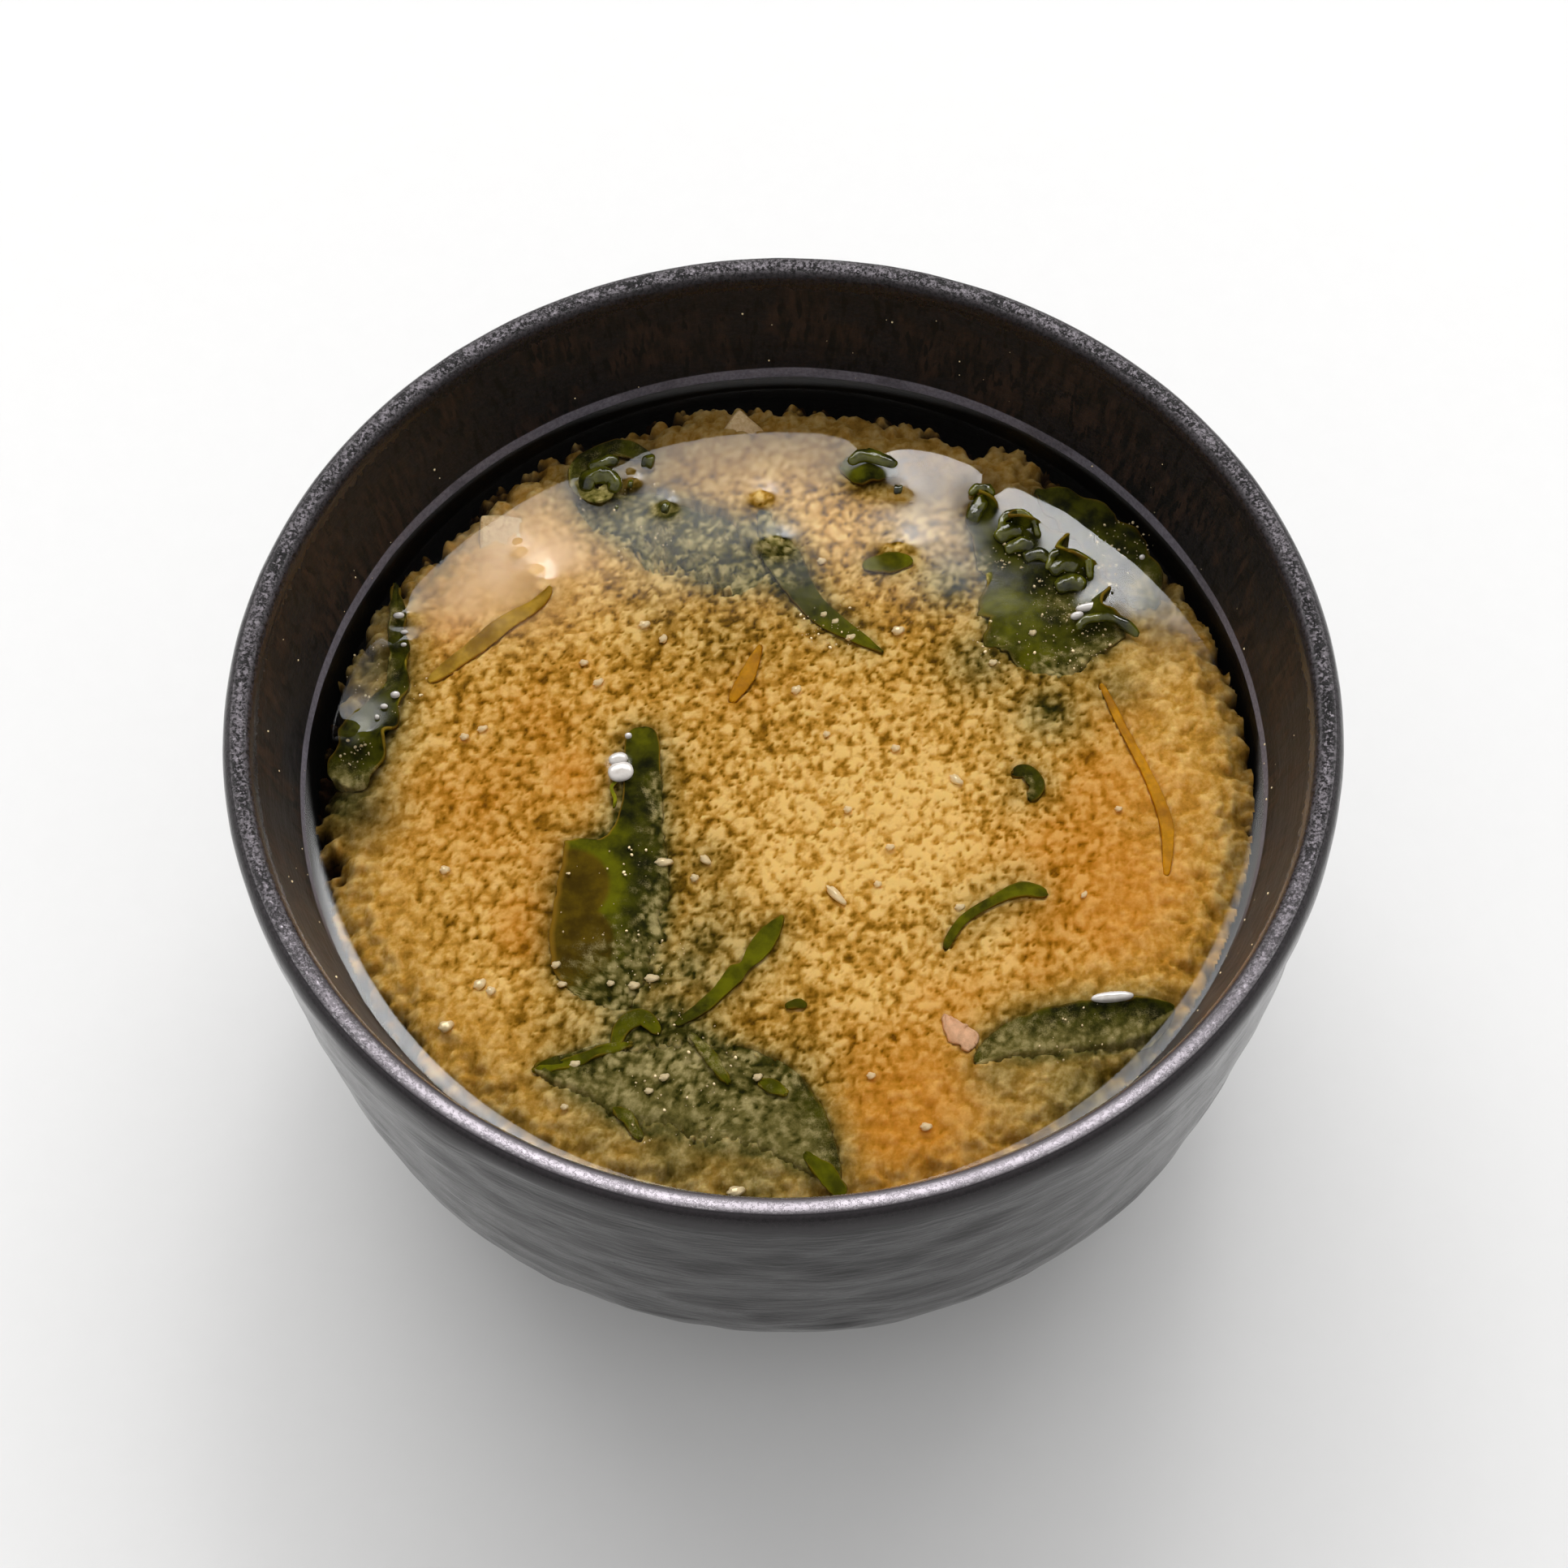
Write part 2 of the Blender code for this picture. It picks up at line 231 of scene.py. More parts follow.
class Look:
    """A node material with one Principled shader, built by short calls."""

    def __init__(self, name):
        self.material = bpy.data.materials.new(name)
        self.material.use_nodes = True
        self.tree = self.material.node_tree
        self.shader = self.tree.nodes["Principled BSDF"]
        self.output = self.tree.nodes["Material Output"]
        self.place = self.tree.nodes.new("ShaderNodeTexCoord").outputs["Object"]

    def link(self, source, target):
        if isinstance(source, bpy.types.NodeSocket):
            self.tree.links.new(source, target)
        elif isinstance(source, (tuple, list)) and len(source) == 3:
            if target.type == "RGBA":
                target.default_value = (*source, 1.0)
            else:
                target.default_value = source
        else:
            target.default_value = source

    def fixed(self, **values):
        for name, value in values.items():
            self.shader.inputs[name.replace("_", " ")].default_value = value

    def attribute(self, name):
        node = self.tree.nodes.new("ShaderNodeAttribute")
        node.attribute_name = name
        return node.outputs["Fac"]

    def noise(self, size, detail=2.0, roughness=0.5, stretch=None):
        node = self.tree.nodes.new("ShaderNodeTexNoise")
        node.inputs["Scale"].default_value = 1.0 / size
        node.inputs["Detail"].default_value = detail
        node.inputs["Roughness"].default_value = roughness
        self.link(self.stretched(stretch), node.inputs["Vector"])
        return node.outputs["Fac"]

    def stretched(self, stretch):
        if stretch is None:
            return self.place
        node = self.tree.nodes.new("ShaderNodeMapping")
        node.inputs["Scale"].default_value = stretch
        self.link(self.place, node.inputs["Vector"])
        return node.outputs["Vector"]

    def along(self, axis):
        node = self.tree.nodes.new("ShaderNodeSeparateXYZ")
        self.link(self.place, node.inputs[0])
        return node.outputs[axis]

    def math(self, operation, a, b=0.0):
        node = self.tree.nodes.new("ShaderNodeMath")
        node.operation = operation
        self.link(a, node.inputs[0])
        self.link(b, node.inputs[1])
        return node.outputs[0]

    def plus(self, a, b):
        return self.math("ADD", a, b)

    def minus(self, a, b):
        return self.math("SUBTRACT", a, b)

    def times(self, a, b):
        return self.math("MULTIPLY", a, b)

    def spread(self, value, low, high, to_low=0.0, to_high=1.0):
        node = self.tree.nodes.new("ShaderNodeMapRange")
        node.interpolation_type = "SMOOTHSTEP"
        self.link(value, node.inputs["Value"])
        for name, number in zip(
            ("From Min", "From Max", "To Min", "To Max"), (low, high, to_low, to_high)
        ):
            node.inputs[name].default_value = number
        return node.outputs["Result"]

    def mix(self, share, a, b, blend="MIX"):
        node = self.tree.nodes.new("ShaderNodeMix")
        node.data_type = "RGBA"
        node.blend_type = blend
        self.link(share, node.inputs["Factor"])
        colour_inputs = [i for i in node.inputs if i.type == "RGBA"]
        self.link(a, colour_inputs[0])
        self.link(b, colour_inputs[1])
        return [o for o in node.outputs if o.type == "RGBA"][0]

    def ramp(self, value, *stops):
        node = self.tree.nodes.new("ShaderNodeValToRGB")
        band = node.color_ramp
        while len(band.elements) < len(stops):
            band.elements.new(0.5)
        for element, (place, colour) in zip(band.elements, stops):
            element.position = place
            element.color = (*colour, 1.0)
        self.link(value, node.inputs["Fac"])
        return node.outputs["Color"]

    def bump(self, height, distance, strength=1.0):
        node = self.tree.nodes.new("ShaderNodeBump")
        node.inputs["Distance"].default_value = distance
        node.inputs["Strength"].default_value = strength
        self.link(height, node.inputs["Height"])
        return node.outputs["Normal"]

    def colour(self, source):
        self.link(source, self.shader.inputs["Base Color"])

    def roughness(self, source):
        self.link(source, self.shader.inputs["Roughness"])

    def normal(self, source):
        self.link(source, self.shader.inputs["Normal"])


def srgb(red, green, blue):
    """Linear colour from the usual 0 to 255 screen values."""
    return tuple(((c / 255 + 0.055) / 1.055) ** 2.4 for c in (red, green, blue))


def foggy_green(look, lit):
    """Curds of miso hanging over seaweed: green in the gaps, greyer on the tops."""
    return look.ramp(
        lit,
        (0.0, srgb(30, 32, 1)),
        (0.3, srgb(62, 60, 10)),
        (0.62, srgb(122, 112, 58)),
        (1.0, srgb(196, 180, 124)),
    )


def glaze_look():
    """Black-brown satin glaze, pitted along the crest of the lip, where wear shows as metallic grey with
    painted sheen.
    """
    look = Look("tenmoku_glaze")
    lip = look.attribute("lip")
    crest = look.attribute("crest")
    inside = look.attribute("inside")
    drift = look.noise(9 * MM, 4.0, 0.6)
    grain = look.noise(0.40 * MM, 4.0, 0.7)
    streaks = look.noise(1.3 * MM, 5.0, 0.7, stretch=(1.0, 1.0, 0.14))
    dashes = look.noise(0.8 * MM, 2.0, 0.5, stretch=(1.0, 1.0, 0.2))
    # Body: cold black outside, patches of warm brown and cold grey with dark dashes inside
    outer = look.mix(look.spread(drift, 0.35, 0.65), srgb(8, 7, 7), srgb(19, 16, 16))
    warm = look.mix(look.spread(streaks, 0.34, 0.66), srgb(6, 4, 3), srgb(46, 31, 23))
    cold = look.mix(look.spread(grain, 0.35, 0.7), srgb(12, 10, 11), srgb(30, 25, 26))
    warm = look.mix(look.spread(drift, 0.44, 0.58), cold, warm)
    warm = look.mix(look.spread(dashes, 0.56, 0.62), warm, srgb(5, 2, 2))
    # Darker below the broth's level
    above_level = look.spread(look.along("Z"), LEVEL - 1.5 * MM, LEVEL + 1.2 * MM)
    warm = look.mix(above_level, srgb(9, 6, 4), warm)
    body = look.mix(inside, outer, warm)
    # Lip: a greyer band with a pitted crest, grey from wear and from painted sheen for its bright
    # reflection, smoother and brighter at the front
    pits = look.noise(0.42 * MM, 3.0, 0.7)
    clusters = look.noise(5 * MM, 2.0, 0.5)
    marks = look.plus(pits, look.times(clusters, 0.45))
    edge_noise = look.times(look.minus(dashes, 0.5), 1.3)
    lip_share = look.spread(look.plus(lip, edge_noise), 0.42, 0.58)
    lip_colour = look.mix(look.spread(grain, 0.3, 0.7), srgb(15, 12, 13), srgb(34, 28, 31))
    body = look.mix(lip_share, body, lip_colour)
    front = look.spread(look.along("Y"), -52 * MM, -12 * MM, 1.0, 0.0)
    speckle = look.math("MAXIMUM", look.spread(grain, 0.38, 0.60), front)
    # Painted sheen: the crest's pale grey, full at the front, stands partly for the reflection of the
    # bright surroundings
    worn_and_sheen = look.times(crest, speckle)
    body = look.mix(worn_and_sheen, body, srgb(140, 134, 140))
    pit_mask = look.times(look.spread(marks, 0.72, 0.80), look.spread(crest, 0.1, 0.5))
    pit_mask = look.times(pit_mask, look.minus(1.0, look.times(front, 0.85)))
    body = look.mix(pit_mask, body, srgb(10, 8, 8))
    # The pale line on the wall at the meniscus: painted reflection of the bright surroundings in the
    # curved broth
    height = look.along("Z")
    meniscus_sheen = look.times(
        look.spread(height, LEVEL + MENISCUS_SHEEN_BAND[0], LEVEL + MENISCUS_SHEEN_BAND[1]),
        look.spread(height, LEVEL + MENISCUS_SHEEN_BAND[2], LEVEL + MENISCUS_SHEEN_BAND[3], 1.0, 0.0),
    )
    meniscus_sheen = look.times(look.times(meniscus_sheen, inside), look.spread(drift, 0.30, 0.45, 0.7, 1.0))
    meniscus_sheen = look.times(meniscus_sheen, look.spread(look.along("Y"), -30 * MM, -12 * MM))
    grey = look.mix(look.spread(grain, 0.3, 0.7), srgb(92, 88, 96), srgb(118, 113, 122))
    body = look.mix(meniscus_sheen, body, grey)
    look.colour(body)
    look.link(look.times(worn_and_sheen, 0.5), look.shader.inputs["Metallic"])
    # Gloss and relief
    matt = look.times(inside, look.minus(1.0, lip_share))
    satin = look.plus(look.spread(drift, 0.3, 0.7, 0.12, 0.20), look.times(matt, 0.34))
    crest_matt = look.times(crest, look.plus(0.08, look.times(front, 0.12)))
    look.roughness(look.plus(satin, crest_matt))
    relief = look.times(look.noise(1.6 * MM, 4.0, 0.6), 0.35)
    ridges = look.noise(1.3 * MM, 3.0, 0.6, stretch=(0.16, 0.16, 1.0))
    calm = look.minus(1.0, look.times(look.times(front, lip), 0.7))
    relief = look.times(look.plus(relief, look.times(ridges, 0.8)), calm)
    fibre = look.times(look.times(streaks, matt), 0.5)
    relief = look.plus(relief, fibre)
    stipple = look.times(look.spread(pits, 0.3, 0.7), look.plus(crest, 0.08))
    stipple = look.times(stipple, look.minus(1.0, look.times(front, 0.92)))
    relief = look.plus(relief, look.times(stipple, 1.1))
    relief = look.minus(relief, pit_mask)
    look.normal(look.bump(relief, 0.16 * MM, 0.9))
    look.fixed(Specular_IOR_Level=0.28)
    return look.material


def cloud_look():
    """Curdled miso: pale straw curds, golden pits in painted shade, browner with depth under the broth
    and darker at the back in painted shade of the bowl's wall.
    """
    look = Look("miso_cloud")
    tone_and_shade = look.attribute("tone_and_shade")
    amber = look.attribute("amber")
    cream = look.attribute("cream")
    depth = look.attribute("depth")
    leafy = look.attribute("leafy")
    fine = look.noise(0.4 * MM, 4.0, 0.65)
    drift = look.noise(6 * MM, 3.0, 0.6)
    grit = look.times(look.minus(fine, 0.5), 0.55)
    lit = look.plus(look.plus(tone_and_shade, 0.06), grit)
    # Painted shade: the ramp darkens the curds' pits and pales their tops by tone_and_shade
    plain = look.ramp(
        lit,
        (0.0, srgb(88, 58, 2)),
        (0.28, srgb(156, 112, 22)),
        (0.60, srgb(212, 162, 68)),
        (1.0, srgb(250, 214, 136)),
    )
    golden = look.ramp(
        lit,
        (0.0, srgb(122, 76, 1)),
        (0.3, srgb(184, 124, 20)),
        (0.6, srgb(214, 150, 52)),
        (1.0, srgb(238, 186, 100)),
    )
    wet_green = foggy_green(look, look.minus(lit, look.times(leafy, 0.09)))
    creamy = look.mix(tone_and_shade, srgb(196, 152, 96), srgb(240, 206, 156))
    share = look.plus(amber, look.times(look.minus(drift, 0.5), 0.8))
    body = look.mix(look.spread(share, 0.05, 0.95), plain, golden)
    body = look.mix(cream, body, creamy)
    hidden = look.minus(1.2, look.times(tone_and_shade, 0.3))
    body = look.mix(look.times(leafy, hidden), body, wet_green)
    # The depth attribute browns the curds with depth under the broth and adds painted shade at the back
    # and sides, where the bowl's wall blocks the light from behind
    sunk = look.mix(depth, (1.0, 1.0, 1.0), srgb(44, 31, 18))
    look.colour(look.mix(1.0, body, sunk, "MULTIPLY"))
    look.normal(look.bump(fine, 0.06 * MM, 0.5))
    look.fixed(Roughness=0.8, Specular_IOR_Level=0.05)
    look.fixed(Subsurface_Weight=0.35, Subsurface_Radius=(1.0, 0.6, 0.25), Subsurface_Scale=1.0 * MM)
    return look.material


def surface_look():
    """The clear wet skin of the broth: it mirrors a little and shows what is under it."""
    look = Look("broth_surface")
    look.tree.nodes.remove(look.shader)
    clear = look.tree.nodes.new("ShaderNodeBsdfTransparent")
    gloss = look.tree.nodes.new("ShaderNodeBsdfGlossy")
    gloss.inputs["Roughness"].default_value = 0.03
    fresnel = look.tree.nodes.new("ShaderNodeFresnel")
    fresnel.inputs["IOR"].default_value = 1.4
    both = look.tree.nodes.new("ShaderNodeMixShader")
    ripple = look.bump(look.noise(5 * MM, 2.0, 0.5), 0.02 * MM, 0.5)
    look.link(ripple, gloss.inputs["Normal"])
    look.link(fresnel.outputs[0], both.inputs[0])
    look.link(clear.outputs[0], both.inputs[1])
    look.link(gloss.outputs[0], both.inputs[2])
    look.link(both.outputs[0], look.output.inputs["Surface"])
    return look.material


def wakame_look(name, wet):
    """Dark seaweed, olive-brown where thin, dusted with miso where fog lies over it."""
    look = Look(name)
    thin = look.attribute("thin")
    fog = look.attribute("fog")
    tone_and_shade = look.attribute("tone_and_shade")
    drift = look.noise(2.6 * MM, 4.0, 0.6)
    veins = look.noise(0.9 * MM, 4.0, 0.65)
    fine = look.noise(0.4 * MM, 4.0, 0.65)
    dark = look.mix(look.spread(drift, 0.32, 0.68), srgb(24, 26, 0), srgb(78, 78, 4))
    olive = look.mix(look.spread(drift, 0.3, 0.7), srgb(74, 74, 0), srgb(116, 116, 6))
    mottle = look.times(look.minus(veins, 0.5), 0.5)
    body = look.mix(look.spread(look.plus(thin, mottle), 0.2, 0.8), dark, olive)
    brown = look.mix(look.spread(drift, 0.3, 0.7), srgb(74, 56, 0), srgb(112, 90, 10))
    body = look.mix(look.spread(thin, 1.3, 2.0), body, brown)
    clear = look.minus(1.0, look.spread(fog, 0.1, 0.6))
    rim = look.times(look.times(look.attribute("rim"), 0.6), clear)
    body = look.mix(rim, body, srgb(176, 132, 38))
    if wet:
        look.fixed(Roughness=0.14, Specular_IOR_Level=0.5)
    else:
        grit = look.times(look.minus(fine, 0.5), 0.55)
        # Painted shade: the miso on the leaf is darker in the pits of the curd relief
        lit = look.plus(look.plus(tone_and_shade, 0.02), grit)
        powder = look.noise(0.15 * MM, 2.0, 0.6)
        cover = look.plus(look.times(fog, 2.2), look.times(tone_and_shade, 0.5))
        cover = look.plus(cover, look.times(powder, 1.9))
        cover = look.plus(cover, look.times(veins, 1.3))
        covered = look.times(look.spread(cover, 1.95, 3.3), look.spread(fog, 0.0, 0.25))
        body = look.mix(covered, body, foggy_green(look, lit))
        look.fixed(Roughness=0.7, Specular_IOR_Level=0.05)
    look.colour(body)
    relief = look.plus(veins, look.times(fine, 0.25))
    look.normal(look.bump(relief, 0.10 * MM, 0.5))
    return look.material


def strand_look():
    """Smooth golden or olive strips, a little darker in streaks of veins."""
    look = Look("amber_strand")
    veins = look.noise(0.8 * MM, 4.0, 0.6)
    drift = look.noise(3 * MM, 2.0, 0.5)
    amber = look.mix(look.spread(drift, 0.3, 0.7), srgb(182, 122, 2), srgb(224, 162, 12))
    olive = look.mix(look.spread(drift, 0.3, 0.7), srgb(150, 112, 2), srgb(206, 166, 50))
    body = look.mix(look.spread(look.attribute("olive"), 0.2, 0.8), amber, olive)
    body = look.mix(look.spread(look.attribute("olive"), 1.5, 2.0), body, srgb(244, 198, 158))
    look.colour(look.mix(look.spread(veins, 0.3, 0.8, 0.0, 0.35), body, srgb(96, 64, 2)))
    look.normal(look.bump(look.plus(veins, drift), 0.1 * MM, 0.6))
    look.fixed(Roughness=0.5, Specular_IOR_Level=0.12)
    return look.material


def tofu_look():
    """Pale cream curd with fine pores, browner where the broth covers it."""
    look = Look("tofu")
    pores = look.noise(0.5 * MM, 4.0, 0.65)
    drift = look.noise(3 * MM, 3.0, 0.5)
    curd = look.mix(look.spread(pores, 0.3, 0.65), srgb(214, 178, 120), srgb(240, 214, 164))
    depth = look.spread(look.along("Z"), LEVEL - 3.5 * MM, LEVEL + 0.2 * MM, 1.0, 0.0)
    body = look.mix(depth, curd, look.mix(drift, srgb(160, 112, 52), srgb(196, 146, 80)))
    look.colour(body)
    look.normal(look.bump(pores, 0.12 * MM, 0.7))
    look.fixed(Roughness=0.4, Subsurface_Weight=0.15, Subsurface_Scale=0.001)
    return look.material


def grain_look():
    """Loose grains of miso and rice koji, each a little different."""
    look = Look("miso_grain")
    shade = look.attribute("shade")
    pale = look.attribute("pale")
    fine = look.noise(0.3 * MM, 3.0, 0.6)
    body = look.mix(shade, srgb(176, 142, 86), srgb(214, 190, 138))
    koji = look.mix(fine, srgb(232, 204, 150), srgb(250, 234, 194))
    look.colour(look.mix(pale, body, koji))
    look.normal(look.bump(fine, 0.05 * MM, 0.5))
    look.fixed(Roughness=0.45)
    return look.material


def bubble_sheen_look():
    """Small bubbles and wet beads: bright, with a milky body, a painted highlight for their reflection.
    """
    look = Look("bubble_painted_highlight")
    fine = look.noise(0.6 * MM, 2.0, 0.5)
    look.colour(look.mix(fine, srgb(164, 158, 152), srgb(206, 200, 194)))
    look.roughness(look.spread(fine, 0.3, 0.7, 0.05, 0.18))
    look.fixed(Coat_Weight=1.0, Coat_Roughness=0.03)
    return look.material


def floor_look():
    """Plain pale matt floor."""
    look = Look("pale_floor")
    fine = look.noise(4 * MM, 4.0, 0.6)
    look.colour(look.mix(fine, srgb(211, 211, 211), srgb(214, 214, 214)))
    look.fixed(Roughness=0.7, Specular_IOR_Level=0.2)
    return look.material


# ---------------------------------------------------------------- bowl

def ellipse_arc(centre, radii, start, end, steps):
    """Points on an arc of an ellipse, from one angle to another in degrees."""
    angle = np.radians(np.linspace(start, end, steps + 1))
    across = centre[0] + radii[0] * np.cos(angle)
    up = centre[1] + radii[1] * np.sin(angle)
    return list(zip(across, up))


def lip_outline(base):
    """The lip from its inner foot over a broad crest that leans inwards to its outer foot."""
    tilt = np.radians(np.interp(np.linspace(0, 1, 33), [0, 0.42, 0.70, 1.0], [-90, 1.5, 11, 90]))
    middle = 0.5 * (tilt[1:] + tilt[:-1])
    across = np.concatenate([[0.0], np.cumsum(np.cos(middle))])
    rise = np.concatenate([[0.0], np.cumsum(-np.sin(middle))])
    radius = BOWL_RADIUS - LIP_THICKNESS * across / across[-1]
    height = base + LIP_HEIGHT * rise / rise.max()
    return list(zip(radius, height))[::-1]


def bowl_profile():
    """The outline of the bowl, from the middle of its hollow over the lip to its foot."""
    bend = (HOLLOW_RADIUS - HOLLOW_FLOOR_RADIUS, HOLLOW_BEND_HEIGHT - HOLLOW_FLOOR_HEIGHT)
    hollow = ellipse_arc((HOLLOW_FLOOR_RADIUS, HOLLOW_BEND_HEIGHT), bend, -90, 0, 14)
    contact = [(CONTACT_RADIUS, LEVEL + MENISCUS_RISE)]
    lip_base = BOWL_HEIGHT - LIP_HEIGHT
    lip = lip_outline(lip_base)
    upright = [(BOWL_RADIUS - 0.3 * MM, (lip_base + SHOULDER_HEIGHT) / 2)]
    shoulder = (SHOULDER_RADIUS - FOOT_RADIUS, SHOULDER_HEIGHT - FOOT_HEIGHT)
    outside = ellipse_arc((FOOT_RADIUS, SHOULDER_HEIGHT), shoulder, 0, -90, 16)
    foot_inner = FOOT_BASE_RADIUS - FOOT_WIDTH
    foot = [
        (FOOT_BASE_RADIUS, FOOT_EDGE),
        (FOOT_BASE_RADIUS - 0.3 * FOOT_EDGE, 0.3 * FOOT_EDGE),
        (FOOT_BASE_RADIUS - FOOT_EDGE, 0.0),
        (foot_inner + FOOT_EDGE, 0.0),
        (foot_inner, FOOT_EDGE),
        (foot_inner - FOOT_EDGE, FOOT_RECESS),
        (0.5 * MM, FOOT_RECESS),
    ]
    start = [(0.5 * MM, HOLLOW_FLOOR_HEIGHT)]
    return start + hollow + contact + lip + upright + outside + foot


def resample(outline, longest):
    """More points along an outline, so that no step is longer than that."""
    points = []
    for (r1, z1), (r2, z2) in zip(outline, outline[1:]):
        steps = max(1, int(math.ceil(math.hypot(r2 - r1, z2 - z1) / longest)))
        for step in range(steps):
            share = step / steps
            points.append((r1 + (r2 - r1) * share, z1 + (z2 - z1) * share))
    return np.array(points + [outline[-1]])


BOWL_STEP = 1.25 * MM
BOWL_SEGMENTS = 420


def make_bowl():
    """The glazed bowl, turned from its outline, with throwing rings and soft dents."""
    profile = resample(bowl_profile(), BOWL_STEP)
    segments = BOWL_SEGMENTS
    angle = np.linspace(0, 2 * np.pi, segments, endpoint=False)
    radius, turn = np.meshgrid(profile[:, 0], angle, indexing="ij")
    height = np.repeat(profile[:, 1:2], segments, axis=1)
    rows = len(profile)
    outer_start = int(np.argmax(profile[:, 1]))
    is_outside = (np.arange(rows) > outer_start)[:, None] & (height > FOOT_HEIGHT)
    is_inside = (np.arange(rows) <= outer_start)[:, None] & (height > HOLLOW_BEND_HEIGHT)
    arc = turn * BOWL_RADIUS
    rings = 0.07 * MM * value_noise(height + 0.4 * MM * np.sin(2 * turn), turn * 0 + 1, 1.7 * MM, 5)
    dents = 0.20 * MM * value_noise(arc, height * 1.6, 7 * MM, 11)
    dents += 0.10 * MM * value_noise(arc, height * 1.3, 3.1 * MM, 12)
    away_from_lip = smoothstep(0.0, 5 * MM, BOWL_HEIGHT - height)
    push = np.where(is_outside, (rings + dents) * away_from_lip - 0.25 * MM, 0.0)
    push += np.where(is_inside, (0.6 * rings + 0.35 * dents) * away_from_lip, 0.0)
    lip = smoothstep(BOWL_HEIGHT - 3.6 * MM, BOWL_HEIGHT - 1.6 * MM, height)
    wobble = 0.10 * MM * value_noise(arc, arc * 0, 6 * MM, 21) * lip
    radius = radius + push
    height = height - np.abs(wobble)
    points = np.stack([radius * np.cos(turn), radius * np.sin(turn), height], -1).reshape(-1, 3)
    faces = grid_faces(rows, segments, closed=True)[:, ::-1]
    piece = mesh_object("bowl_glazed", points, faces, glaze_look())
    give(piece, "lip", lip.ravel())
    crest = np.exp(-(((radius - BOWL_RADIUS + 2.25 * MM) / (0.62 * MM)) ** 2)) * lip
    give(piece, "crest", crest.ravel())
    inside_share = (np.arange(rows) <= outer_start)[:, None] * np.ones_like(turn)
    give(piece, "inside", inside_share.ravel())
    close_holes(piece)
    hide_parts("bowl")


# ---------------------------------------------------------------- broth

# Soft patches on the soup: x, y, radius and strength, in mm
AMBER_PATCHES = [
    (-25, -12, 5, 0.9), (-23.5, -1, 5, 0.8), (-33, -4, 13, 0.55), (-27, 6, 10, 0.5),
    (-27, -19, 5, 1.1), (34, -16, 11, 1.1), (37, -5, 8, 0.8), (13, -42, 11, 0.95),
    (18, -30, 7, 0.6), (-38, 18, 7, 0.5), (-4, 10, 6, 0.45), (28, -24, 7, 0.5), (38, 5, 5, 0.6),
    (-22, -8, 4, 0.6),
]
PALE_PATCHES = [
    (-27, 4, 9, -0.14), (9, -7, 13, 0.35), (5, -24, 9, 0.12), (16, 6, 10, 0.05), (22, -6, 9, -0.12),
    (-22, 4, 14, -0.05),
]
CREAM_PATCHES = [
    (-31, 26.5, 6.5, 1.1), (-27, 28, 4.5, 0.9), (-36, 23, 4.5, 0.7), (-36, 31, 3, 0.6),
]
FINE_PATCHES = [
    (6, 0, 24, 1.0), (20, -12, 16, 1.0), (-6, 14, 14, 1.0), (6, -28, 14, 0.7),
]
FOG_PATCHES = [
    (-18, -26.4, 3.2, 0.9), (-14, -27, 3.4, 1.0), (-13, -29, 5, 1.2), (-10, -34, 6, 1.2),
    (-2, -46, 5, 1.1), (-16, -33, 4, 1.0), (-10.5, -23, 4, 1.2), (29, -38, 5, 1.2),
    (-18, 32, 9, 0.8), (-8, 27, 8, 0.95), (-2, 31, 5, 1.0), (-10.6, -13, 3.4, 1.0),
    (-11.5, -19, 4.4, 1.0), (-13.5, -25, 5.6, 1.0), (-18, -30, 6, 1.1), (-14, -40, 7, 1.3),
    (-5, -43, 6, 1.3), (-22, -41, 4, 1.3), (-14, -37, 7, 0.8), (-3, -38, 4.5, 0.8),
    (-9, -36, 5, 0.8), (-18, -37, 4, 0.8), (0, -45, 4, 0.7), (-13.2, -3, 2.2, 0.75),
    (-12.6, -8, 2.6, 0.9), (30, -38, 5, 1.2), (24, -36, 3.4, 1.0), (36, -36.5, 4, 1.1),
    (31, -34.2, 3, 0.5), (37, -33.6, 2.4, 0.5), (20, 25, 3.6, 1.0), (23.4, 12, 3.4, 1.0),
    (31, 9.4, 3.4, 1.1), (37, 11.5, 3.4, 1.1), (41, 16, 2.4, 0.9), (42, 23, 2.6, 0.6),
    (-50, -2, 2.6, 0.9), (-46, -2, 2, 0.7), (0, 25, 2.2, 0.5), (20.6, 18, 2.2, 1.0),
    (-46.6, 13, 2.0, 1.0), (-47, 20, 2.4, 1.0), (26.6, -4.4, 1.5, 0.8), (9, -49, 4, 0.7),
    (33, 20, 3, 0.3),
]
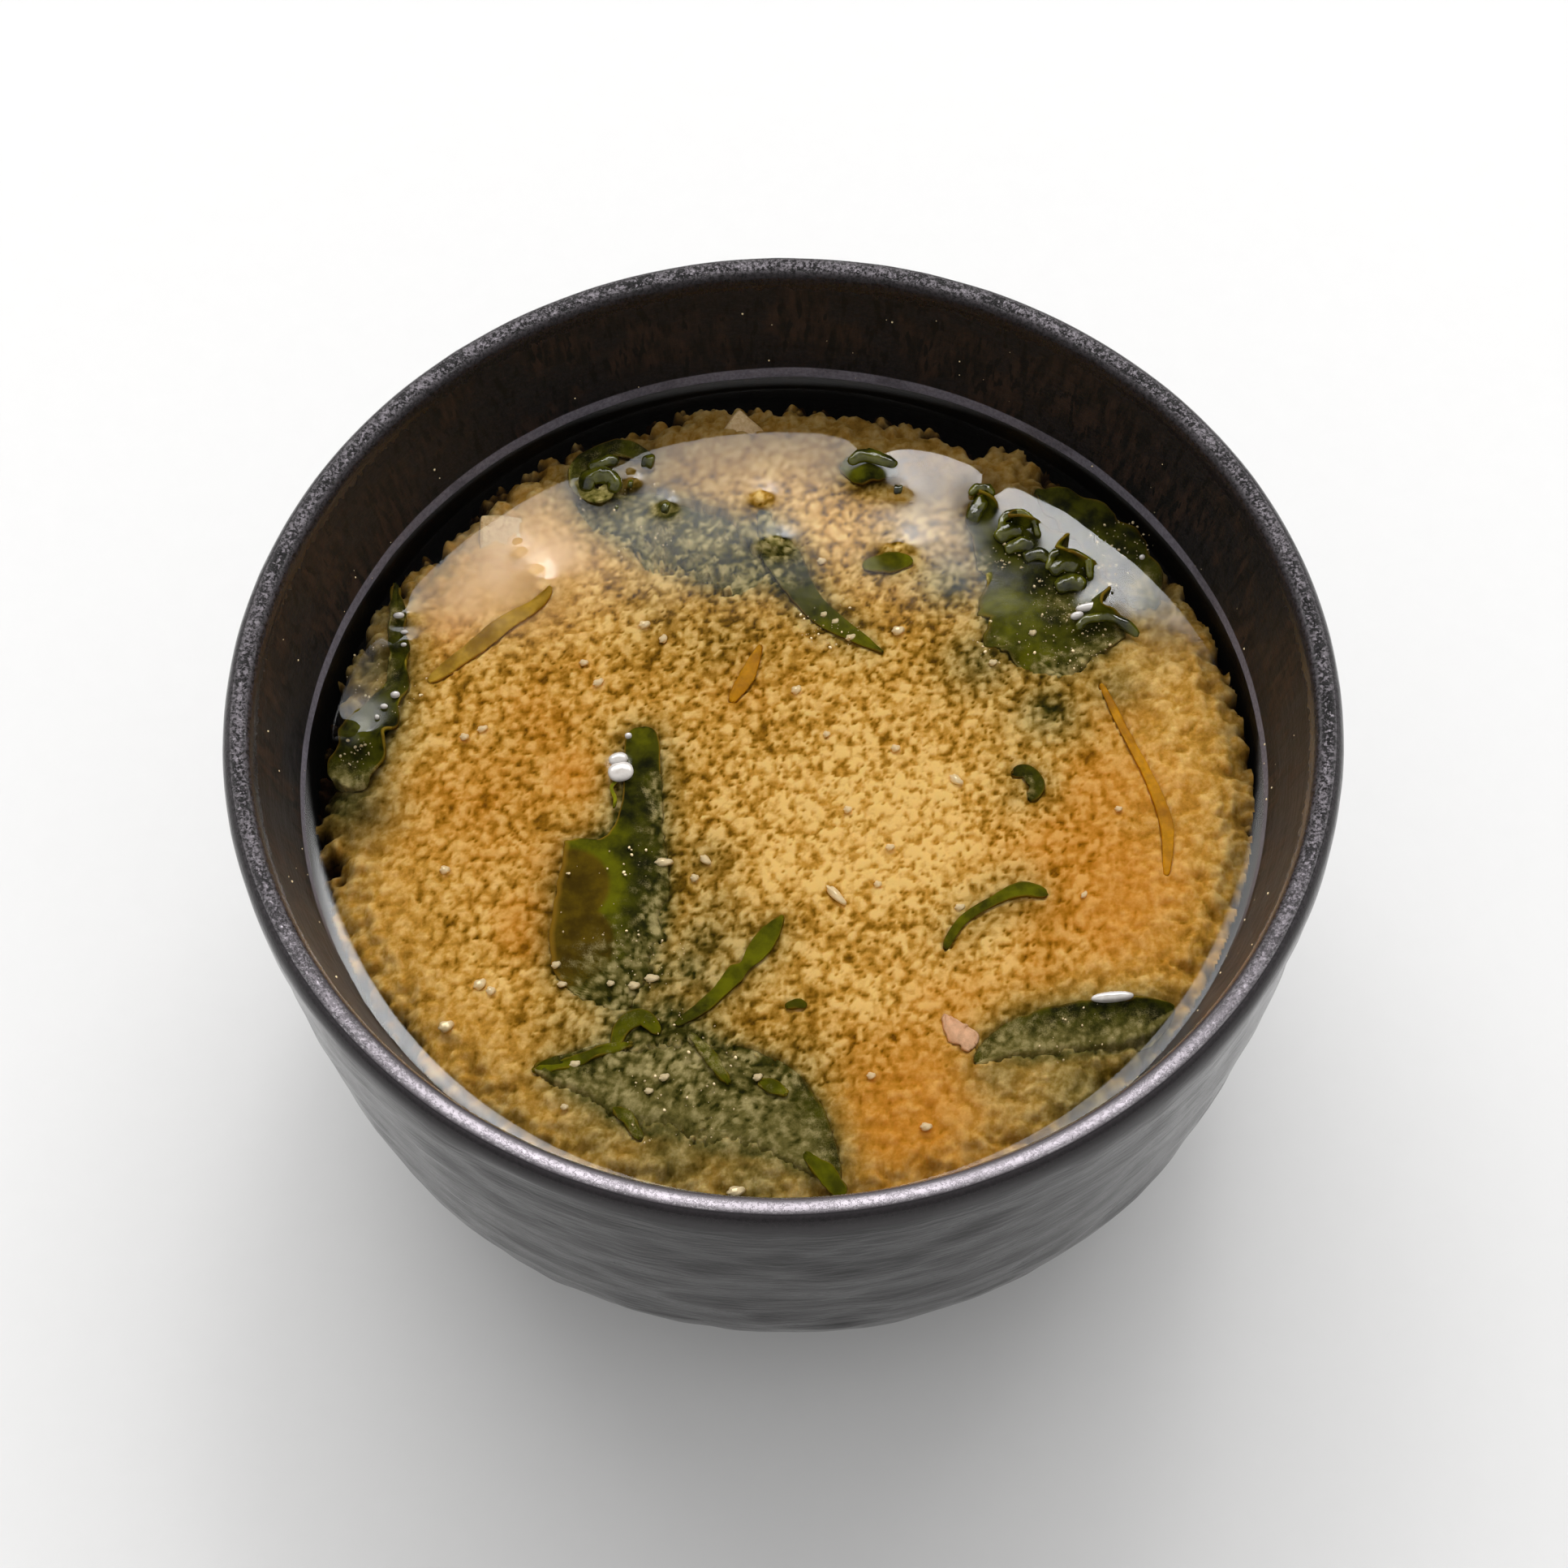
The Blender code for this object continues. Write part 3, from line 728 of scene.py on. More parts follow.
GHOST_PATCHES = [
    (-14, -25.5, 4.5, 0.9), (-10.5, -25, 4, 0.9), (-17, -27.5, 3.6, 0.8), (-17, -37.5, 4, 0.9),
    (-11.5, -41.5, 4.4, 0.9), (-5, -45, 4.4, 0.9), (-21, -35, 3, 0.7), (29, -40, 5, 0.6),
    (-13, -31, 5, 1.0), (-8, -27, 5, 0.7), (-6, -21, 4, 0.5), (-12, -46, 6, 0.85),
    (-4, -49, 6, 0.8), (-20, -43, 5, 0.6), (0, -38, 5, 0.6), (-21, -33, 4, 0.6), (-49, 6, 6, 1.0),
    (-49, -3, 5, 1.0), (-47, 15, 4.5, 0.9), (-46, 22, 4, 0.7), (20, 24, 5, 0.9), (23, 13, 5, 0.8),
    (30, 6, 4.5, 0.85), (38, 9, 4, 0.7), (31, -40, 7, 0.8), (22, -38, 4, 0.7), (37, -36, 5, 0.8),
    (-6, 17, 6, 0.3), (42, 22, 6, 0.9), (-14, 20, 5, 0.3), (3, 24, 5, 0.4), (-14, 24, 6, 0.35),
    (16, 30, 5, 0.5), (19, 22, 4, 0.5), (-8, -18, 4, 0.5), (-10, -26, 5, 0.5), (28, 6, 5, 0.4),
    (-30, -42, 5, 0.25), (-44, 4, 3, 0.5), (26, -40, 7, 0.45), (2, -36, 4, 0.3),
    (-9, -12, 3.6, 0.5), (-9, -22, 4.5, 0.75), (-7.5, -28, 4, 0.6), (-48, 12, 4, 0.6),
    (16, 26, 5, 0.35), (26, -5, 2, 0.4), (-22, -32, 5, 0.5), (42, 12, 3, 0.3),
]
DEEP_PATCHES = [
    (-39.2, 37.4, 2.8, 1.0), (18, 38, 5, 0.9), (24, 37, 6, 1.0), (30, 34, 7, 1.0),
    (36, 28, 6, 0.95), (40, 22, 4.5, 0.8), (-22, 41, 5, 0.8), (-16, 43, 4, 0.5), (-48, 6, 4.5, 0.6),
    (-49, 0, 4, 0.85), (40, 30, 6, 0.8), (-47, -6, 4, 0.6), (-47, 14, 4, 0.45), (21, 27, 4, 0.4),
    (44, 16, 3, 0.4),
]
CLOUD_SPACING = 0.305 * MM
CLOUD_RADIUS = 52.9 * MM


def fluffiness(x, y):
    """1 near the bowl's wall, where the curds run together into soft tufts, and 0 inside."""
    turn = np.arctan2(y, x)
    reach = 42 * MM - 3 * MM * np.cos(turn) + 2 * MM * value_noise(x, y, 9 * MM, 87)
    return smoothstep(-7 * MM, 7 * MM, np.hypot(x, y) - reach)


def curd_relief(x, y):
    """The bed of curds, 0 in its pits to 1 on its tops."""
    wide = x + 0.34 * MM * value_noise(x, y, 1.0 * MM, 36)
    tall = y + 0.34 * MM * value_noise(x, y, 1.0 * MM, 37)
    bed = 0.66 * curds(wide, tall, 1.28 * MM, 41) + 0.30 * curds(wide, tall, 0.74 * MM, 51)
    bed += 0.12 * value_noise(x, y, 0.7 * MM, 61) + 0.14 * value_noise(x, y, 2.8 * MM, 62)
    fine = np.clip(patch_weight(x, y, FINE_PATCHES), 0, 1)
    wells = np.maximum(pits(wide, tall, 1.3 * MM, 91, 0.9), 0.85 * pits(wide, tall, 0.85 * MM, 95, 0.45))
    bed = 0.17 + 1.0 * bed - (0.5 + 0.5 * fine) * wells
    far = x + 0.7 * MM * value_noise(x, y, 2.2 * MM, 77)
    off = y + 0.7 * MM * value_noise(x, y, 2.2 * MM, 78)
    fluff = 0.30 * curds(far, off, 2.4 * MM, 81) + 0.34 * curds(far, off, 1.25 * MM, 83)
    fluff = fluff + 0.24 + 0.20 * curds(wide, tall, 0.7 * MM, 84) + 0.10 * value_noise(x, y, 0.6 * MM, 85)
    share = fluffiness(x, y)
    return np.clip(bed + 0.8 * share * (fluff - bed), 0, 1)


def inside_fringe(x, y):
    """How far each place is inside the ragged outer edge of the miso cloud, in mm."""
    turn = np.arctan2(y, x)
    arc = turn * 50 * MM
    reach = 52.4 * MM - 1.3 * MM * np.sin(turn) + 0.4 * MM * np.cos(turn)
    wander = 1.1 * MM * value_noise(arc, arc * 0 + 3, 8 * MM, 31)
    tufts = 2.4 * MM * (curds(x, y, 2.7 * MM, 33) - 0.45)
    tufts += 1.0 * MM * (curds(x, y, 1.3 * MM, 35) - 0.4) + 0.2 * MM * value_noise(x, y, 0.7 * MM, 39)
    return (reach + wander + tufts - np.hypot(x, y)) / MM


def leaf_floor(x, y, leaves):
    """Height of the lowest bare leaf over each place, and masks of bare and of all leaves."""
    steps = int(CLOUD_RADIUS / CLOUD_SPACING) + 3
    low = np.full((2 * steps + 1, 2 * steps + 1), 1.0)
    every = np.zeros_like(low)
    for points, bare, green in leaves:
        column = np.clip(np.rint(points[:, 0] / CLOUD_SPACING).astype(int) + steps, 0, 2 * steps)
        row = np.clip(np.rint(points[:, 1] / CLOUD_SPACING).astype(int) + steps, 0, 2 * steps)
        every[row, column] = np.maximum(every[row, column], green)
        np.minimum.at(low, (row[bare], column[bare]), points[bare, 2])
    mask = (low < 1.0).astype(float)
    for axis in (0, 1):
        for reach in (8, 6, 4):
            every = sum(np.roll(every, k, axis) for k in range(-reach, reach + 1)) / (2 * reach + 1)
    column = np.rint(x / CLOUD_SPACING).astype(int) + steps
    row = np.rint(y / CLOUD_SPACING).astype(int) + steps
    return low[row, column], mask[row, column], every[row, column]


def make_cloud(leaves):
    """The bed of miso curds as one relief, low under bare leaves and deep at its edge."""
    x, y, faces = disc_grid(CLOUD_RADIUS, CLOUD_SPACING)
    bed = curd_relief(x, y)
    within = inside_fringe(x, y)
    cream = np.clip(patch_weight(x, y, CREAM_PATCHES), 0, 1)
    bed = bed + cream * (0.75 + 0.2 * value_noise(x, y, 4 * MM, 95) - bed) * 0.9
    fluffy = fluffiness(x, y)
    swell = 0.30 * value_noise(x, y, 3.4 * MM, 75) + 0.35 * layered_noise(x, y, 9 * MM, 71)
    far = x + 0.7 * MM * value_noise(x, y, 2.2 * MM, 77)
    off = y + 0.7 * MM * value_noise(x, y, 2.2 * MM, 78)
    tufts = 0.55 * curds(far, off, 2.4 * MM, 81) + 0.55 * curds(far, off, 1.25 * MM, 83)
    sunken = np.clip(patch_weight(x, y, DEEP_PATCHES), 0, 1)
    depth = 0.82 - 0.26 * bed - 0.22 * swell
    depth = depth + fluffy * (0.45 - 0.75 * tufts) + 1.5 * sunken
    depth = depth + 2.2 * np.clip(1 - within / 6, 0, 1) ** 1.5
    depth = depth + 10 * smoothstep(0.8, -4.6, within)
    height = LEVEL - depth * MM
    low, mask, wide = leaf_floor(x, y, leaves)
    height = np.where(mask > 0, np.minimum(low - 0.35 * MM, height), height)
    height = np.minimum(height, LEVEL - 0.12 * MM)
    points = np.stack([x, y, height], axis=1)
    piece = mesh_object("miso_cloud", points, faces, cloud_look())
    # Painted shade: darker down in the curds' pits and paler on their tops, with paler patches of miso
    # added
    tone_and_shade = bed + 0.25 * swell + patch_weight(x, y, PALE_PATCHES)
    give(piece, "tone_and_shade", np.clip(tone_and_shade, 0, 1))
    give(piece, "amber", patch_weight(x, y, AMBER_PATCHES))
    give(piece, "cream", cream)
    ghost = np.clip(patch_weight(x, y, GHOST_PATCHES), 0, 1)
    give(piece, "leafy", np.clip(np.maximum(1.55 * wide, ghost), 0, 1))
    # Painted shade of the bowl's wall at the back and along the fringe at the sides, with browning where
    # the curds lie deep
    behind = 0.52 * smoothstep(31 * MM, 47 * MM, y + 1.5 * MM * value_noise(x, y, 5 * MM, 97))
    edge = 0.6 * np.clip(1 - within / 4.5, 0, 1) * smoothstep(-28 * MM, -6 * MM, y)
    murk_and_shade = np.maximum(np.maximum(smoothstep(1.0, 4.4, depth), edge), np.maximum(behind, 0.8 * sunken))
    give(piece, "depth", np.clip(murk_and_shade, 0, 1))
    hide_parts("broth")


# Where the skin of the broth climbs at something that floats: x, y, width and height in mm
DIMPLES = [
    (14, 29.0, 1.1, 0.3), (-28.4, 26.8, 1.3, 0.45), (-30.4, 29.4, 1.0, 0.3),
    (-27.6, 24.6, 1.0, 0.35), (-2, 36.8, 0.9, 0.3), (-0.4, 30.2, 0.9, 0.35),
    (-13.4, 35.6, 0.8, 0.3), (-17.4, 39.0, 0.6, 0.25), (24.6, 35.0, 1.4, 0.35),
    (28.4, 30.6, 1.8, 0.35), (34, 25.4, 2.0, 0.35), (37, 18.6, 1.6, 0.45), (-21, 39.5, 2.0, 0.35),
    (11, 40.4, 2.4, 0.4), (-18.4, -0.8, 0.9, 0.3), (-44, 20.4, 1.0, 0.35), (-43.6, 16.6, 1.0, 0.35),
    (-47.6, 4.4, 1.6, 0.5), (14.6, 37.0, 0.8, 0.25),
]
SURFACE_SEGMENTS = 640
# The rise to the wall: where it starts and how far it bends, in mm, its slope and its curve
MENISCUS_START = 50.9
MENISCUS_BEND = 0.8
MENISCUS_SLOPE = 0.17
MENISCUS_CURVE = 0.03


def surface_height(x, y):
    """Height of the skin of the broth, which climbs to the wall and to floating pieces."""
    away = np.hypot(x, y) / MM
    share = np.clip((away - MENISCUS_START) / MENISCUS_BEND, 0, 1)
    beyond = np.maximum(away - MENISCUS_START - MENISCUS_BEND, 0)
    climb = MENISCUS_SLOPE * (MENISCUS_BEND * (share**3 - 0.5 * share**4) + beyond)
    climb = climb + MENISCUS_CURVE * beyond**2
    height = LEVEL + climb * MM
    for px, py, width, rise in DIMPLES:
        off = np.hypot(x / MM - px, y / MM - py) / width
        height = height + rise * MM * np.exp(-off)
    return height


def make_surface():
    """The skin of the broth as a fine round sheet that climbs to the wall all round."""
    radii = np.concatenate([np.arange(0.4, 49, 0.5), np.arange(49, 53.9, 0.13)]) * MM
    angle = np.linspace(0, 2 * np.pi, SURFACE_SEGMENTS, endpoint=False)
    radius, turn = np.meshgrid(radii, angle, indexing="ij")
    x, y = radius * np.cos(turn), radius * np.sin(turn)
    points = np.stack([x, y, surface_height(x, y)], axis=-1).reshape(-1, 3)
    faces = grid_faces(len(radii), SURFACE_SEGMENTS, closed=True)
    piece = mesh_object("broth_surface", points, faces, surface_look())
    close_holes(piece, lambda e: e.verts[0].co.xy.length < 1 * MM, outwards=False)


# ---------------------------------------------------------------- floating pieces

# What a leaf or strip has unless its own settings say otherwise. Rows and columns of points; sunk
# and ruffle in mm; fogged: its share of the miso on it; buried_side: which side lies under it
RIBBON_DEFAULTS = {
    "grid": (110, 26), "seed": 1, "waves": 1.0, "scallop": 0.08, "ragged": 0.05, "curls": [],
    "ruffle": 0.2, "sunk": 0.6, "fogged": 1.0, "buried_side": 0.0, "thin": [], "olive": 1.0,
    "rim": 0.4,
}
RIBBON_THICKNESS = 0.35 * MM


def ribbon(name, look, stations, settings, replaced=None):
    """A thin wet leaf along stations: x, y, height over the broth, width left and right, mm."""
    settings = {**RIBBON_DEFAULTS, **settings}
    rows, columns = settings["grid"]
    place = np.linspace(0, 1, rows)
    values = catmull_rom(stations, place) * MM
    ahead = catmull_rom(stations, np.clip(place + 0.01, 0, 1))
    behind = catmull_rom(stations, np.clip(place - 0.01, 0, 1))
    heading = (ahead - behind)[:, :2]
    heading /= np.linalg.norm(heading, axis=1)[:, None] + 1e-9
    normal = np.stack([-heading[:, 1], heading[:, 0]], axis=1)
    side = np.linspace(-1, 1, columns)[None, :]
    seed = settings["seed"]
    waves = settings["waves"]
    lobes = 1 + settings["scallop"] * np.sin(2 * np.pi * waves * place[:, None] + 2 * side)
    ragged = settings["ragged"] * value_noise(
        place[:, None] * rows * MM + 0 * side, np.sign(side) * MM + 0 * place[:, None], 4 * MM, seed
    )
    tip = np.sqrt(np.clip(1 - (2 * place - 1) ** 8, 0, 1))[:, None]
    width = np.where(side > 0, values[:, 3:4], values[:, 4:5]) * (lobes + ragged) * tip
    across = side * width
    # Edges that roll up
    rise = np.zeros_like(across)
    for start, curl_side, span, radius, degrees in settings["curls"]:
        lobe = np.exp(-(((place - start) / span) ** 2))[:, None]
        reach = np.clip(side * curl_side, 0, 1)
        bend = lobe * np.clip((reach - 0.35) / 0.65, 0, 1)
        turn = bend * math.radians(degrees)
        rise += radius * MM * (1 - np.cos(turn))
        across += curl_side * radius * MM * (np.sin(turn) - bend * 1.2)
    wave = settings["ruffle"] * MM * np.abs(side) ** 1.6
    rise += wave * np.sin(2 * np.pi * waves * place[:, None] + 2.4 * side + seed)
    x = values[:, 0:1] + normal[:, 0:1] * across
    y = values[:, 1:2] + normal[:, 1:2] * across
    z = LEVEL + values[:, 2:3] - settings["sunk"] * MM + rise
    z = z + 0.10 * MM * value_noise(x, y, 1.6 * MM, seed + 7)
    z = z + 0.05 * MM * value_noise(x, y, 0.8 * MM, seed + 8)
    # Where miso lies on the leaf, its edges sink under the curds
    fog = np.clip(patch_weight(x, y, FOG_PATCHES), 0, 1) * settings["fogged"]
    bed = curd_relief(x, y)
    hidden_side = np.clip(side * settings["buried_side"], 0, 1) + 0 * across
    fog = np.maximum(fog, smoothstep(0.05, 0.6, hidden_side))
    hidden_side = np.maximum(hidden_side, np.abs(side) * (fog > 0) * smoothstep(0.45, 0.8, fog))
    buried = smoothstep(0.62, 0.95, hidden_side + 0.3 * (bed - 0.5))
    z = z + 0.26 * MM * fog * (bed - 0.4) - 1.6 * MM * buried
    points = np.stack([x, y, z], -1).reshape(-1, 3)
    piece = mesh_object(name, points, grid_faces(rows, columns), look)
    flat_x, flat_y = x.ravel(), y.ravel()
    give(piece, "thin", patch_weight(flat_x, flat_y, settings["thin"]))
    give(piece, "fog", fog.ravel())
    give(piece, "tone_and_shade", bed.ravel())
    give(piece, "olive", np.full(len(points), settings["olive"]))
    rim = smoothstep(0.90, 0.99, np.abs(side)) * np.ones_like(across)
    give(piece, "rim", settings["rim"] * rim.ravel())
    skin = piece.modifiers.new("Skin", "SOLIDIFY")
    skin.thickness = RIBBON_THICKNESS
    skin.offset = 0.0
    if replaced:
        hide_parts(replaced)
    bare = buried.ravel() < 0.4
    return points, bare


WAKAME = {
    "wakame_ruffled_right": (
        [
            (23.6, 35.6, 0.3, 1.0, 1.0), (24.4, 31.2, -0.1, 3.4, 2.2), (27.6, 26.2, 0.0, 6.0, 4.4),
            (30.2, 20.6, -0.1, 7.4, 7.2), (31.6, 15.2, -0.2, 7.4, 6.8),
            (31.8, 10.8, -0.8, 2.4, 3.2),
        ],
        {
            "grid": (200, 60), "seed": 3, "waves": 5.0, "scallop": 0.1,
            "curls": [
                (0.05, 1, 0.05, 0.9, 170), (0.26, 1, 0.06, 1.2, 200), (0.47, 1, 0.07, 1.3, 200),
                (0.72, 1, 0.08, 1.2, 170),
            ],
            "ruffle": 0.55, "thin": [(26, 18.5, 4.6, 1.1), (29, 13, 3.4, 0.9)],
        },
        "wakame_ruffled_right",
    ),
    "wakame_chip_back": (
        [
            (7.6, 40.4, -0.2, 1.1, 0.9), (10.4, 40.2, 0.3, 2.2, 2.6), (12.6, 39.8, 0.4, 1.4, 1.6),
            (14.4, 39.2, 0.2, 0.6, 0.6),
        ],
        {"grid": (60, 24), "seed": 5, "waves": 2.0, "fogged": 0.1, "thin": [(8.6, 39.2, 2.2, 0.8)]},
        "wakame_chip_back",
    ),
    "wakame_curl_back": (
        [
            (-15.2, 42.8, -0.2, 0.8, 0.8), (-19.4, 43.8, 0.0, 1.2, 1.2),
            (-23.0, 42.0, 0.2, 1.2, 1.2), (-23.8, 38.6, 0.5, 1.1, 1.1),
            (-21.6, 36.4, 0.7, 1.1, 1.1), (-19.6, 37.8, 0.5, 0.9, 0.9),
        ],
        {"grid": (120, 20), "seed": 7, "waves": 3.0, "ruffle": 0.3},
        "wakame_curl_back",
    ),
    "wakame_ruffled_left": (
        [
            (-45.0, 25.0, -0.3, 0.6, 0.6), (-44.2, 18.0, 0.1, 0.9, 1.1),
            (-44.0, 11.0, 0.1, 1.1, 1.4), (-46.8, 5.0, 0.1, 2.4, 3.0),
            (-49.0, -1.8, -0.4, 3.0, 3.0),
        ],
        {
            "grid": (160, 30), "seed": 9, "waves": 6.0, "scallop": 0.14,
            "curls": [(0.78, 1, 0.1, 0.8, 120)], "ruffle": 0.5, "thin": [(-50.0, 1.0, 1.6, 0.5)],
        },
        "wakame_ruffled_left",
    ),
    "wakame_blade_centre": (
        [
            (-15.8, 5.0, -0.3, 1.7, 1.5), (-15.9, 3.6, 0.0, 2.0, 2.0), (-16.0, 0.0, 0.0, 2.2, 1.9),
            (-16.2, -5.0, 0.0, 2.6, 1.9), (-16.4, -8.4, 0.0, 3.0, 2.8),
            (-16.6, -10.0, 0.0, 3.4, 4.2), (-16.7, -10.6, 0.0, 3.6, 7.4),
            (-16.9, -12.0, 0.0, 4.0, 7.6), (-17.4, -17.0, 0.0, 4.6, 7.8),
            (-17.8, -22.0, -0.1, 4.6, 8.0), (-18.0, -26.0, -0.4, 4.0, 7.4),
            (-18.0, -29.6, -0.9, 2.4, 4.4),
        ],
        {
            "grid": (200, 44), "seed": 13, "waves": 2.0, "scallop": 0.0, "ragged": 0.02,
            "ruffle": 0.12,
            "thin": [
                (-23.8, -15, 4.0, 6.0), (-23.6, -22, 4.4, 6.0), (-19.0, -9, 2.6, 0.8),
                (-16, 3.4, 2.2, 0.6),
            ],
            "rim": 1.0,
        },
        "wakame_blade_centre",
    ),
    "wakame_tendril_front": (
        [
            (-12.0, -31.6, -0.1, 0.5, 0.5), (-9.6, -30.2, 0.1, 0.8, 0.7),
            (-7.2, -27.8, 0.2, 0.8, 0.8), (-5.6, -26.1, 0.2, 1.1, 0.9),
            (-4.5, -25.1, 0.2, 0.6, 0.5), (-3.2, -23.4, 0.2, 1.2, 1.2),
            (-1.7, -21.2, 0.2, 1.2, 1.0), (-0.5, -19.2, 0.1, 0.3, 0.4),
        ],
        {
            "grid": (130, 16), "seed": 15, "waves": 1.5, "ruffle": 0.1, "fogged": 0.1,
            "thin": [(-4, -24, 9, 1.1)], "rim": 0.2,
        },
        "wakame_tendril_front",
    ),
    "wakame_fold_front": (
        [
            (-26.8, -36.4, 0.1, 0.9, 0.9), (-22.0, -36.6, 0.0, 2.4, 3.6),
            (-16.0, -37.4, -0.3, 4.6, 6.4), (-8.0, -38.6, -0.4, 5.6, 8.0),
            (0.0, -43.0, -0.4, 4.0, 5.4), (4.6, -49.6, -0.1, 1.2, 1.6),
        ],
        {"grid": (160, 40), "seed": 17, "waves": 4.0, "ruffle": 0.3, "buried_side": -1.0},
        "wakame_fold_front",
    ),
    "wakame_leaf_right_front": (
        [
            (19.6, -36.6, -0.4, 0.8, 0.8), (24.0, -34.0, -0.1, 2.2, 2.4),
            (31.0, -33.2, 0.1, 2.8, 3.2), (36.6, -32.4, 0.1, 2.8, 2.8),
            (40.9, -31.0, 0.1, 0.9, 0.9),
        ],
        {
            "grid": (140, 34), "seed": 19, "waves": 2.0, "curls": [(0.7, 1, 0.16, 0.8, 100)],
            "ruffle": 0.3, "buried_side": -1.0,
        },
        "wakame_leaf_right_front",
    ),
    "wakame_band_back": (
        [
            (-2.0, 34.6, -0.5, 1.0, 0.8), (-0.8, 28.0, -0.2, 3.0, 1.2), (4.2, 20.8, 0.0, 1.2, 1.8),
            (11.6, 14.2, 0.0, 0.4, 0.5),
        ],
        {"seed": 23, "waves": 2.0, "ruffle": 0.15, "thin": [(8, 17.0, 6, 0.9)]},
        "wakame_band_back",
    ),
    "wakame_strand_right": (
        [
            (17.0, -23.4, -0.2, 0.6, 0.5), (19.0, -20.2, 0.0, 0.45, 0.45),
            (22.6, -17.8, 0.1, 0.6, 0.6), (25.6, -16.7, 0.2, 0.9, 0.8),
            (28.4, -17.2, 0.0, 0.7, 0.7),
        ],
        {
            "grid": (80, 12), "seed": 25, "ruffle": 0.1, "fogged": 0.1,
            "thin": [(26, -16.8, 5, 1.0), (19, -20.5, 4, 0.8)],
        },
        "wakame_strand_right",
    ),
    "wakame_chip_middle": (
        [(9.9, 26.2, -0.1, 0.7, 0.8), (12.6, 26.5, 0.2, 1.3, 1.4), (15.5, 26.8, 0.1, 0.6, 0.7)],
        {"grid": (50, 16), "seed": 27, "fogged": 0.1, "thin": [(12.6, 26.6, 5, 1.5)]},
        "wakame_chip_middle",
    ),
    "wakame_sheet_back": (
        [
            (-24.0, 37.0, -1.6, 1.5, 1.5), (-17.0, 34.0, -1.3, 4.0, 4.5),
            (-9.0, 30.0, -1.3, 4.5, 6.0), (-2.0, 25.0, -1.2, 3.5, 4.0),
        ],
        {"grid": (120, 30), "seed": 29, "waves": 3.0, "ruffle": 0.3},
        None,
    ),
    "wakame_sheet_right": (
        [
            (31.0, 37.5, -1.6, 1.0, 1.0), (36.0, 33.5, -1.4, 3.0, 3.0),
            (41.0, 27.0, -1.4, 3.2, 3.2), (43.0, 20.0, -1.6, 1.8, 1.8),
        ],
        {"seed": 33, "waves": 5.0, "scallop": 0.12, "ruffle": 0.5},
        None,
    ),
    "wakame_curl_front": (
        [
            (-18.4, -34.4, -0.1, 0.7, 0.6), (-17.6, -31.8, 0.1, 0.9, 0.9),
            (-15.6, -30.8, 0.2, 0.9, 0.9), (-13.8, -32.6, 0.0, 0.6, 0.7),
        ],
        {"grid": (60, 12), "seed": 35, "ruffle": 0.15, "fogged": 0.1, "thin": [(-16, -32, 4, 1.0)]},
        None,
    ),
    "wakame_edge_left": (
        [
            (-27.0, -36.6, 0.0, 0.3, 0.3), (-23.4, -36.0, 0.2, 0.6, 0.5),
            (-20.0, -34.6, 0.2, 0.5, 0.6), (-16.6, -33.8, 0.0, 0.4, 0.4),
        ],
        {"grid": (80, 10), "seed": 49, "waves": 3.0, "fogged": 0.2, "thin": [(-22, -35.4, 8, 1.0)]},
        None,
    ),
    "wakame_edge_middle": (
        [
            (-10.4, -32.8, 0.0, 0.3, 0.3), (-9.0, -34.6, 0.2, 0.6, 0.6),
            (-7.6, -36.8, 0.2, 0.7, 0.6), (-6.4, -38.4, 0.0, 0.3, 0.3),
        ],
        {"grid": (60, 10), "seed": 51, "waves": 2.0, "fogged": 0.3, "thin": [(-8, -36, 6, 0.8)]},
        None,
    ),
    "wakame_bit_front": (
        [
            (-18.4, -41.0, 0.0, 0.4, 0.4), (-17.0, -42.2, 0.2, 0.7, 0.7),
            (-15.6, -44.4, 0.0, 0.4, 0.4),
        ],
        {"grid": (50, 10), "seed": 53, "waves": 2.0, "fogged": 0.2, "thin": [(-17, -43, 4, 1.0)]},
        None,
    ),
    "wakame_bit_middle": (
        [(-3.2, -38.4, 0.0, 0.4, 0.4), (-1.8, -39.0, 0.2, 0.8, 0.7), (-0.4, -39.8, 0.0, 0.4, 0.4)],
        {"grid": (40, 10), "seed": 55, "fogged": 0.2, "thin": [(-2, -39, 3, 1.0)]},
        None,
    ),
    "wakame_tip_front": (
        [(1.4, -46.4, 0.0, 0.4, 0.4), (3.4, -48.6, 0.2, 1.0, 1.0), (5.2, -51.0, 0.1, 0.8, 0.8)],
        {"grid": (50, 14), "seed": 57, "waves": 2.0, "fogged": 0.0, "thin": [(4, -49, 4, 1.1)]},
        None,
    ),
    "wakame_dot_centre": (
        [(-0.2, -29.9, -0.1, 0.4, 0.4), (0.8, -29.6, 0.1, 0.6, 0.5), (1.8, -29.8, 0.0, 0.3, 0.3)],
        {"grid": (30, 10), "seed": 59, "ruffle": 0.1, "fogged": 0.0, "thin": [(1, -30, 3, 1.5)]},
        None,
    ),
    "wakame_thread_left": (
        [
            (-18.6, -2.2, 0.2, 0.2, 0.2), (-19.2, -3.2, 0.2, 0.2, 0.2),
            (-18.8, -4.6, 0.1, 0.2, 0.2), (-19.0, -5.6, 0.0, 0.15, 0.15),
        ],
        {
            "grid": (40, 6), "seed": 61, "ruffle": 0.0, "sunk": 0.3, "fogged": 0.0,
            "thin": [(-19, -4, 4, 1.4)],
        },
        None,
    ),
    "wakame_curl_small": (
        [
            (25.6, -2.0, -0.2, 0.6, 0.6), (27.2, -1.9, 0.0, 0.9, 0.9), (28.2, -3.6, 0.0, 0.9, 0.9),
            (27.4, -5.4, -0.2, 0.5, 0.5),
        ],
        {"grid": (50, 12), "seed": 37, "ruffle": 0.1},
        None,
    ),
}

